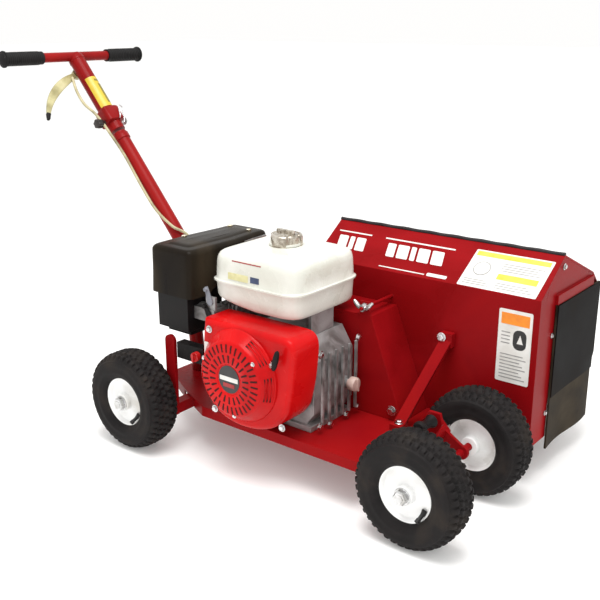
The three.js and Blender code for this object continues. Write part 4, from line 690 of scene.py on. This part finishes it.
INNER_SLOT = [(0.0385, -0.04), (0.0545, -0.046), (0.056, 0), (0.0545, 0.046), (0.0385, 0.04)]
OUTER_SLOT = [(0.061, -0.03), (0.072, -0.028), (0.0785, -0.026), (0.0785, 0.026), (0.072, 0.028),
              (0.061, 0.03)]
# Slots and louvre gaps are thin dark sheets laid on the cup: painted shade.
slot_shades, lips = [], []
for outline, count, offset, thick in [(INNER_SLOT, 22, 0.5, 0.0004), (OUTER_SLOT, 34, 0.0, 0.0005)]:
    for k in range(count):
        turn = 2 * np.pi * (k + offset) / count
        slot_shades.append(sticker(np.array(outline) + [0, turn], on_cup, thick, 0.0))
for turn0, turn1 in [(0.52, 1.14), (-0.36, 0.22)]:
    for r in (0.089, 0.0932, 0.0974):
        slot_shades.append(arc_band(r, r + 0.0024, turn0, turn1, 0.0, 0.0004))
        lips.append(arc_band(r + 0.0024, r + 0.004, turn0 - 0.01, turn1 + 0.01, -0.0006, 0.0026))
piece("recoil_louvre_lips", lips, "chassis", engine_red)
piece("recoil_slot_shade", slot_shades, "chassis", slot_painted_shade)
badge_x, badge_z = CRANK_X - 0.002, CRANK_Z
badge_face = on_front(START_BACK - CUP_FACE * depth_scale)
oval = np.linspace(0, 2 * np.pi, 48, endpoint=False)
badge = np.column_stack([badge_x + 0.0295 * np.cos(oval), badge_z + 0.031 * np.sin(oval)])
white_bar = rectangle(badge_x - 0.0255, badge_x + 0.0255, badge_z - 0.004, badge_z + 0.006, 0.001)
red_bar = rectangle(badge_x - 0.016, badge_x + 0.016, badge_z - 0.018, badge_z - 0.009, 0.001)
for name, outline, layer_size, slot, finish in [
        ("recoil_badge", badge, (0.0006, -0.0004), "black_plastic", label_black),
        ("recoil_badge_bar", white_bar, (0.0003, 0.0006), "wheel_white", vinyl_white),
        ("recoil_badge_red", red_bar, (0.0003, 0.0006), "engine_red", sticker_red)]:
    piece(name, [sticker(outline, badge_face, *layer_size)], "chassis", finish)
CUP_HOLES = [(0.0815, 0.66, 0.0006, 0.0036), (0.0815, 2.75, 0.0006, 0.0036), (0.0815, -1.45, 0.0006, 0.0036),
             (0.103, 0.46, 0.0016, 0.0062)]
bolts("recoil_bolts", [(on_cup(r, turn, -sunk), (0, -1, 0), across) for r, turn, sunk, across in CUP_HOLES])

# ---- Starter grip ----
# A black moulded plastic T-grip on the end of the starter cord. The cord's spring parks it at the
# cup's upper edge.
low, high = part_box("starter_grip")
middle = (low + high) / 2
t = np.linspace(-1, 1, 21)
line = np.column_stack([middle.x + 0.006 * t, middle.y + 0 * t, middle.z + 0.0232 * t])
width = 0.0066 * (1 - 0.35 * t**2) * np.sqrt(np.clip(1 - t**8, 0.05, 1))
NECK = np.array([(0, 0.001, 0), (-0.006, 0.006, -0.002), (-0.014, 0.007, -0.006)])
cord_neck = rod(np.array(middle) + NECK, [0.0055, 0.0045, 0.003], 16, (0, 0, 1))
piece("pull_grip", [rod(line, width, 18), cord_neck], "starter_pull", black_plastic,
      ["starter_grip"])

# ---- Air cleaner cover ----
# A soft-cornered lid moulded in black plastic in two steps, over a black plastic case. Three plated
# screws with wide washers hold it down.
# The lid's lightest brown tone is a painted reflection of warm light on its top, spread in random patches; the
# darker tones are the lid's own brown-black.
cover_black = coating("cover_black", [(0.006, 0.004, 0.003), (0.014, 0.01, 0.006), (0.036, 0.026, 0.016)],
                      patch=5, grain=900, depth=0.05, gloss=(0.26, 0.42), specular=0.08, warp=0.8)
low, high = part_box("air_cleaner_cover")
lid_x, lid_y = (low.x + high.x) / 2, (low.y + high.y) / 2
lid_half_x, lid_half_y = (high.x - low.x) / 2, (high.y - low.y) / 2
WAIST_Y, LID_POWER = -0.166, 13.0


def lid_ring(inset, z_near, z_far):
    """The lid's plan, drawn in by the inset; its lower edge steps up behind the waist."""
    plan = rounded_ring(lid_x, lid_y, lid_half_x - inset, lid_half_y - inset, LID_POWER, 0, 160)
    x, y = plan[:, 0], plan[:, 1]
    share = np.clip((y - WAIST_Y + 0.006) / 0.012, 0, 1)
    narrow = 0.014 * np.clip((y - WAIST_Y) / 0.1, 0, 1)
    return np.stack([x - narrow * np.clip((x - lid_x) / lid_half_x, 0, 1), y,
                     z_near * (1 - share) + z_far * share], -1)


LID_SIDE = [(0.004, low.z + 0.001, 0.4385), (0.0, low.z, 0.438), (0.0, low.z + 0.006, 0.441),
            (0.0015, 0.425, 0.452), (0.002, 0.474, 0.474)]
LID_TOP = [(0.024, 0.4881, 0.4861), (0.03, 0.4881, 0.4861), (0.033, 0.49, 0.488), (0.05, 0.4902, 0.4884)]
lid_corner = [(0.002 + 0.011 * (1 - math.cos(a)), 0.475 + 0.0125 * math.sin(a), 0.474 + 0.0115 * math.sin(a))
              for a in corner_turn[1:]]
lid_rows = [lid_ring(*row) for row in LID_SIDE + lid_corner + LID_TOP]
piece("air_cleaner_lid", [skin(np.stack(lid_rows))], "chassis", cover_black,
      ["air_cleaner_cover"], crease=40)
LID_SCREWS = [(-0.168, -0.2, 0.4855), (-0.16, -0.05, 0.4845), (-0.095, -0.056, 0.4845)]
brass_plate = coating("brass_plate", [(0.45, 0.33, 0.15), (0.72, 0.62, 0.42), (0.78, 0.72, 0.6)], patch=50,
                      grain=900, gloss=(0.18, 0.34), metal=1.0)
screws = [part for place in LID_SCREWS for part in bolt(place, (0, 0, 1), 0.0062)]
piece("lid_screws", screws, "chassis", brass_plate)
repaint("air_cleaner_case", black_plastic, 0.001)

# ---- Engine castings ----
# Cast aluminium crankcase, finned cylinder head, rocker cover and carburettor, dull with a pebbled
# skin. The crankcase's end cover has cast ribs and is held by plated bolts.
cast_alloy = coating("cast_alloy", [(0.16, 0.15, 0.145), (0.3, 0.29, 0.285), (0.42, 0.41, 0.41)], patch=16,
                     grain=260, depth=0.16, gloss=(0.38, 0.6), metal=0.65, warp=1.5)
dark_steel = coating("dark_steel", [(0.02, 0.018, 0.017), (0.07, 0.062, 0.058), (0.12, 0.11, 0.1)], patch=22,
                     grain=500, depth=0.06, gloss=(0.35, 0.55), metal=0.7)
for node in ["engine_block", "cylinder_head", "rocker_cover", "carburetor"]:
    repaint(node, cast_alloy, 0.0012)
low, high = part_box("engine_block")
END_FACE, RIB_LOW, RIB_HIGH = high.x, BASE_Z + 0.018, high.z - 0.026


def on_end(y, z, rise):
    """A point on the engine's end face."""
    return np.array([END_FACE + rise, y, z])


rib_starts = [-0.222 + 0.0245 * k for k in range(6)]
ribs = [sticker(rectangle(y, y + 0.0055, RIB_LOW, RIB_HIGH, 0.002), on_end, 0.0052, -0.002)
        for y in rib_starts]
piece("crankcase_ribs", ribs, "chassis", cast_alloy)
END_HOLES = [(-0.226, 0.3), (-0.226, 0.135), (-0.0885, 0.3), (-0.0885, 0.135), (-0.19, 0.128), (-0.13, 0.128)]
bolts("crankcase_bolts", [((END_FACE - 0.0005, y, z), (1, 0, 0), 0.0062) for y, z in END_HOLES])

# ---- Oil filler ----
# A dipstick cap moulded in pale red-grey plastic, with a stepped skirt and a winged top to turn it
# by. It screws level into the end of the crankcase.
cap_grey = coating("cap_grey", [(0.3, 0.2, 0.17), (0.46, 0.31, 0.27), (0.52, 0.38, 0.33)], patch=40,
                   depth=0.05, gloss=(0.35, 0.5))
low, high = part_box("oil_cap")
middle = (low + high) / 2
OIL_CAP = [(0.004, 0.0), (0.0115, 0.0), (0.0125, 0.002), (0.0125, 0.012), (0.0155, 0.0135), (0.016, 0.018),
           (0.016, 0.026), (0.0145, 0.029), (0.008, 0.03), (0.001, 0.03)]


def on_oil_cap(up, side, rise):
    """A point over the cap's outer face."""
    return np.array([low.x + rise, middle.y + side, middle.z + up])


cap_rows = stub(OIL_CAP, (low.x, middle.y, middle.z), (1, 0, 0), 96)
wing = sticker(rectangle(-0.0145, 0.0145, -0.003, 0.003, 0.002), on_oil_cap, 0.005, 0.029)
piece("dipstick_cap", [skin(cap_rows), wing], "oil_filler", cap_grey, ["oil_cap"])

# ---- Muffler, bracket and small engine parts ----
# Aluminised steel silencer box, cast tank bracket, moulded switch box and spark-plug boot, and the
# choke and throttle levers. Each has its own paint, plate or bare plastic.
silencer_grey = coating("silencer_grey", [(0.16, 0.145, 0.13), (0.34, 0.33, 0.32), (0.46, 0.45, 0.44)],
                        patch=14, grain=320, depth=0.07, gloss=(0.35, 0.55), metal=0.8)
bracket_grey = coating("bracket_grey", [(0.15, 0.155, 0.175), (0.24, 0.25, 0.285)], patch=20, grain=500)
switch_red = coating("switch_red", [(0.36, 0.006, 0.006), (0.5, 0.01, 0.01)], patch=40, gloss=(0.3, 0.4))
for node, finish in [("muffler", silencer_grey), ("tank_bracket", cast_alloy), ("switch_box", black_plastic),
                     ("spark_plug_cap", black_plastic), ("choke_lever", black_plastic),
                     ("throttle_lever", bracket_grey), ("engine_switch", switch_red)]:
    repaint(node, finish, 0.0008)

# ---- Belt drive, bearings and cutter ----
# Cast pulleys, a moulded rubber V-belt, cast flange bearings, and a ground steel disc with a worn
# edge on a plated shaft. They run hidden inside the guard and the hood.
belt_rubber = coating("belt_rubber", [(0.01, 0.009, 0.009), (0.025, 0.022, 0.02)], patch=30, grain=1200,
                      gloss=(0.55, 0.75), specular=0.25)
cutter_steel = coating("cutter_steel", [(0.1, 0.075, 0.055), (0.3, 0.28, 0.26), (0.48, 0.47, 0.46)], patch=12,
                       grain=420, depth=0.07, gloss=(0.25, 0.5), metal=0.9, warp=2.0)
for node, finish in [("v_belt", belt_rubber), ("driven_pulley", cast_alloy), ("drive_pulley", dark_steel),
                     ("idler_arm", bright_zinc), ("idler_pulley", black_plastic),
                     ("cutter_disc", cutter_steel), ("cutter_shaft", bright_zinc),
                     ("cutter_bearing_inner", cast_alloy), ("cutter_bearing_outer", cast_alloy),
                     ("crankshaft", dark_steel), ("flywheel_fan", black_plastic),
                     ("deflector_hinge", bright_zinc)]:
    repaint(node, finish, 0.0006)

# ---- Handle tubes ----
# Red powder-coated steel tube: the lower tube leans back from the frame, and the upper T folds at a
# plated bolt. The cross bar is welded on, and a collar and a square bracket stiffen the fold.
tube_red = coating("tube_red", [(0.15, 0.005, 0.005), (0.22, 0.007, 0.007), (0.27, 0.009, 0.008)], patch=5,
                   grain=420, gloss=(0.22, 0.36), specular=0.08)
LEAN = math.radians(40.3)
BASE = np.array([0.017, -0.117, 0.117])
BAR_AT, BAR_HALF, LOWER_RADIUS, UPPER_RADIUS = 1000, 0.2165, 0.018, 0.02


def on_handle(a, y, s):
    """A place on the handle in millimetres: a forward of its axis, y to the side, s along it from the foot."""
    return BASE + np.array([a * math.cos(LEAN) - s * math.sin(LEAN), y,
                            a * math.sin(LEAN) + s * math.cos(LEAN)]) / 1000


def spline(points, steps=10):
    """A smooth line through the points: between two of them it is the Catmull-Rom cubic."""
    points = np.asarray(points, float)
    points = np.concatenate([[2 * points[0] - points[1]], points, [2 * points[-1] - points[-2]]])
    t = np.linspace(0, 1, steps, endpoint=False)[:, None]
    runs = []
    for a, b, c, d in zip(points, points[1:], points[2:], points[3:]):
        runs.append(0.5 * (2 * b + (c - a) * t + (2 * a - 5 * b + 4 * c - d) * t**2 + (3 * b - a - 3 * c + d)
                           * t**3))
    return np.concatenate(runs + [points[-2:-1]])


foot, knee = np.array([-0.217, -0.117, 0.117]), np.array([-0.239, -0.117, 0.36])
bend = curve(knee, on_handle(0, 0, 380), on_handle(0, 0, 470), 24)
rise, straight = np.linspace(0, 0.96, 12)[:, None], np.linspace(485.12, 758, 10)
lower_path = np.concatenate([foot + (knee - foot) * rise, bend, [on_handle(0, 0, s) for s in straight]])
piece("lower_tube", [rod(lower_path, LOWER_RADIUS, 32)], "chassis", tube_red,
      ["handle_lower_tube"])
upper_line = spline([on_handle(0, 0, s) for s in (766, 780, 830, 900, 960, 986)], 5)
piece("upper_tube", [rod(upper_line, UPPER_RADIUS, 32)], "handle_upper", tube_red,
      ["handle_upper_tube"])
bar_middle = on_handle(0, 0, BAR_AT)
bar_line = bar_middle + np.array([[0, BAR_HALF * t, 0] for t in np.linspace(-1, 1, 33)])
piece("cross_bar", [rod(bar_line, 0.012, 28, (1, 0, 0))], "handle_upper", tube_red)
WELD = [(0.015, -0.022), (0.0212, -0.016), (0.0206, -0.006), (0.0165, 0.003), (0.008, 0.0055), (0.0, 0.006)]
weld = stub(WELD, bar_middle, bar_middle - on_handle(0, 0, 900), 32)
piece("cross_bar_weld", [skin(weld)], "handle_upper", tube_red)
collar = rod([on_handle(0, 0, s) for s in (736, 738, 752, 754)], [0.0188, 0.0205, 0.0205, 0.019], 32)
piece("fold_collar", [collar], "chassis", tube_red)
turns = np.linspace(0, 2 * np.pi, 64, endpoint=False)
square_a = 24.5 * np.sign(np.cos(turns)) * np.abs(np.cos(turns)) ** 0.4
square_y = 25.5 * np.sign(np.sin(turns)) * np.abs(np.sin(turns)) ** 0.4
bracket_rows = [[on_handle(grow * a, grow * y, s) for a, y in zip(square_a, square_y)]
                for s, grow in [(788, 0.9), (790, 1.0), (826, 1.0), (829, 0.92), (830, 0.8)]]
piece("fold_bracket", [skin(np.array(bracket_rows))], "handle_upper", tube_red)
SPRING_PIN = [(27, 8, 772), (28, 14, 782), (30, 22, 806), (30, 26, 816), (29, 21, 822), (28, 15, 812),
              (27.5, 8, 794), (27.5, 2, 786)]
spring_pin = spline([on_handle(*p) for p in SPRING_PIN], 8)
piece("spring_pin", [rod(spring_pin, 0.0016, 8, (0.4, 0.3, 1))], "handle_upper", bright_zinc)

# ---- Handlebar grips ----
# Soft black rubber sleeves pushed over the ends of the cross bar, with a flange near the outer end
# and fine rings moulded along them.
grip_rubber = coating("grip_rubber", [(0.006, 0.006, 0.006), (0.013, 0.012, 0.012)], patch=30, grain=1500,
                      depth=0.05, gloss=(0.5, 0.65), specular=0.14)
SLEEVE, RING, FLANGE = 0.016, 0.0009, 0.02
steps = np.linspace(0, 1, 90)
radius = SLEEVE + RING * (np.sin(steps * 2 * np.pi * 21) > 0) * (steps > 0.1) * (steps < 0.94)
radius = np.where((steps > 0.915) & (steps < 0.955), FLANGE, radius)
radius *= np.sqrt(np.clip(1 - np.clip((steps - 0.955) / 0.046, 0, 1) ** 2, 0.01, 1))
for name in ("left", "right"):
    low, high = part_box("handle_grip_" + name)
    inner_end, outer_end = (low.y, high.y) if name == "left" else (high.y, low.y)
    line = np.column_stack([np.full(90, bar_middle[0]), inner_end + (outer_end - inner_end) * steps,
                            np.full(90, bar_middle[2])])
    piece(name + "_grip_sleeve", [rod(line, radius, 36, (1, 0, 0))], "handle_upper",
          grip_rubber, ["handle_grip_" + name])

# ---- Handle sticker ----
# A plain yellow vinyl band wrapped over the front of the upper tube, with two darker printed
# patches. It is stuck down over the paint.
sticker_yellow = printed("sticker_yellow", [(0.45, 0.32, 0.02), (0.58, 0.43, 0.035)], 30, gloss=(0.3, 0.45))
sticker_olive = printed("sticker_olive", [(0.14, 0.11, 0.01), (0.24, 0.19, 0.02)], 160, 900)


def on_tube(turn, s, rise=0.0):
    """A point of the upper tube's surface: the turn from its front face and the place along it."""
    r = (UPPER_RADIUS + rise) * 1000
    return on_handle(r * math.cos(turn), r * math.sin(turn), s)


def tube_band(turn0, turn1, s0, s1, rise):
    """A thin patch wrapped over the tube between two turns."""
    turns = np.linspace(turn0, turn1, 13)
    under = -0.0006
    rows = [[on_tube(turn0, s, under)] + [on_tube(a, s, rise) for a in turns]
            + [on_tube(a, s, under) for a in turns[::-1]] for s in (s0, s1)]
    return skin(np.array(rows))


patches = [tube_band(0.15, 0.75, 842, 900, 0.0007), tube_band(-0.1, 0.8, 908, 914, 0.0007)]
piece("tube_sticker", [tube_band(-1.15, 1.35, 832, 922, 0.0004)], "handle_upper",
      sticker_yellow)
piece("tube_sticker_edges", patches, "handle_upper", sticker_olive)

# ---- Fold clamp ----
# A moulded black plastic knob on a plated stud clamps the two halves of the handle at the fold.
# A plated bolt head and washer sit on the far side.
low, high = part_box("fold_knob")
FOLD_AT, LOBE, FLUTE = 793, 0.0115, 0.0009
axle = on_handle(0, 0, FOLD_AT)
near, far = low.y, -0.144
turn = np.linspace(0, 2 * np.pi, 120, endpoint=False)
lobe = LOBE + FLUTE * np.cos(turn * 6)
KNOB = [(0.45, far), (0.62, far - 0.001), (0.7, far - 0.006), (0.85, far - 0.009), (1.0, far - 0.012),
        (1.0, near + 0.004), (0.92, near + 0.0012), (0.7, near), (0.05, near)]
knob_rows = [np.stack([axle[0] + lobe * k * np.cos(turn), np.full(120, y), axle[2] + lobe * k * np.sin(turn)],
                      -1) for k, y in KNOB]
knob_black = coating("knob_black", [(0.01, 0.007, 0.006), (0.022, 0.014, 0.011)], patch=60, grain=900)
stud = rod([(axle[0], y, axle[2]) for y in (far - 0.004, -0.12, high.y + 0.004)], 0.0042, 16, (1, 0, 0))
piece("clamp_knob", [skin(np.stack(knob_rows))], "fold_clamp", knob_black, ["fold_knob"])
piece("clamp_stud", [stud], "fold_clamp", bright_zinc)
bolts("clamp_far_bolt", [((axle[0], high.y + 0.0002, axle[2]), (0, 1, 0), 0.0072)], "fold_clamp")

# ---- Clutch lever ----
# A cream painted lever, pressed from steel and curved along the right grip, with a black plastic
# sleeve on its tip. It swings on a plated bolt behind the upper tube.
lever_cream = coating("lever_cream", [(0.26, 0.23, 0.1), (0.46, 0.42, 0.22), (0.56, 0.52, 0.32)], patch=18,
                      grain=500, gloss=(0.28, 0.4), coat=0.2)
t = np.linspace(0, 1, 40)[:, None]
BLADE = np.array([(-4, -2), (-60, -20), (-125, -60), (-156, -125)], float)
heel, bow, crook, end = BLADE
blade = heel * (1 - t) ** 3 + 3 * bow * t * (1 - t) ** 2 + 3 * crook * t**2 * (1 - t) + end * t**3
LEVER_A, LEVER_AT = -29, 965
path = np.stack([on_handle(LEVER_A, y, LEVER_AT + s) for y, s in blade])
flow = np.gradient(path, axis=0)
flow /= np.linalg.norm(flow, axis=1)[:, None]
depth_way = (on_handle(1, 0, 0) - on_handle(0, 0, 0)) * 1000
width_way = np.cross(flow, depth_way)
turn = np.linspace(0, 2 * np.pi, 24, endpoint=False)
flat = 0.0098 * np.sign(np.cos(turn)) * np.abs(np.cos(turn)) ** 0.5
deep = 0.0042 * np.sign(np.sin(turn)) * np.abs(np.sin(turn)) ** 0.5
swell = (0.62 + 0.72 * np.sin(np.pi * t**0.85) * (1 - 0.25 * t) - 0.3 * t**3)[:, :, None]
blade_width = swell * flat[None, :, None] * width_way[:, None, :]
blade_depth = deep[None, :, None] * depth_way[None, None, :]
blade_rows = path[:, None, :] + blade_width + blade_depth
PIVOT = [(0.0, -0.006), (0.012, -0.006), (0.0125, -0.0045), (0.0125, 0.0045), (0.012, 0.006), (0.0, 0.006)]
pivot = stub(PIVOT, on_handle(LEVER_A, 0, LEVER_AT), depth_way, 32)
piece("curved_lever", [skin(blade_rows[:38]), skin(pivot, caps=False)], "clutch", lever_cream,
      ["clutch_lever"])
tip = path[36:, None, :] + 1.15 * blade_width[36:] + 1.25 * blade_depth
piece("lever_sleeve", [skin(tip)], "clutch", black_plastic)
bolts("lever_pivot_bolt", [(on_handle(LEVER_A - 6.2, 0, LEVER_AT), -depth_way, 0.0065)], "clutch")

# ---- Control cable ----
# A beige sheathed steel cable runs from the lever down the handle to the belt idler and is tied to
# the tube. It bends at the fold, so one piece follows both halves of the handle.
cable_beige = coating("cable_beige", [(0.2, 0.17, 0.09), (0.4, 0.35, 0.2), (0.5, 0.45, 0.28)], patch=25,
                      grain=900, gloss=(0.4, 0.55))
ON_UPPER = [(-20, -26, 950), (-14, -42, 903), (-8, -47, 860), (2, -42, 825), (5, -38, 795)]
ON_LOWER = [(4, -33, 765), (2, -25, 693), (-2, -24, 600), (1, -24.5, 530), (17, -20, 470), (25, 4, 425)]
BELOW = [(-217, -84, 360), (-203, -76, 240), (-189, -72, 165), (-165, -68, 134), (-77, -54, 128),
         (9, -45, 140)]
cable_points = [on_handle(*p) for p in ON_UPPER + ON_LOWER] + [np.array(p) / 1000 for p in BELOW]
cable_line = spline(cable_points, 12)
cable = piece("beige_cable", [rod(cable_line, 0.0035, 14, (0.3, 0.2, 1))], None, cable_beige,
              ["control_cable_upper", "control_cable_lower"])
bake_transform(cable)

# ---- Floor ----
# A plain pale studio floor that reaches to the horizon. It glows very slightly, so that it stays
# pale under the soft light.
floor = bpy.data.objects.new("floor", bpy.data.meshes.new("floor"))
floor.data.from_pydata([(-30, -30, 0), (30, -30, 0), (30, 30, 0), (-30, 30, 0)], [], [(0, 1, 2, 3)])
studio_floor = coating("studio_floor", [(0.88, 0.88, 0.87), (0.92, 0.92, 0.91)], patch=0.5, grain=40,
                       depth=0.01, gloss=(0.7, 0.8), specular=0.1)
glow = studio_floor.node_tree.nodes["Principled BSDF"].inputs
glow["Emission Color"].default_value = (1, 1, 0.99, 1)
glow["Emission Strength"].default_value = 0.14
floor.data.materials.append(studio_floor)
bpy.context.scene.collection.objects.link(floor)
floor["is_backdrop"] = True

# ---- Sizes ----
# The finished machine's box, from every shown piece but the floor. Its corners
# are in metres, lowest first.
low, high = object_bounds()
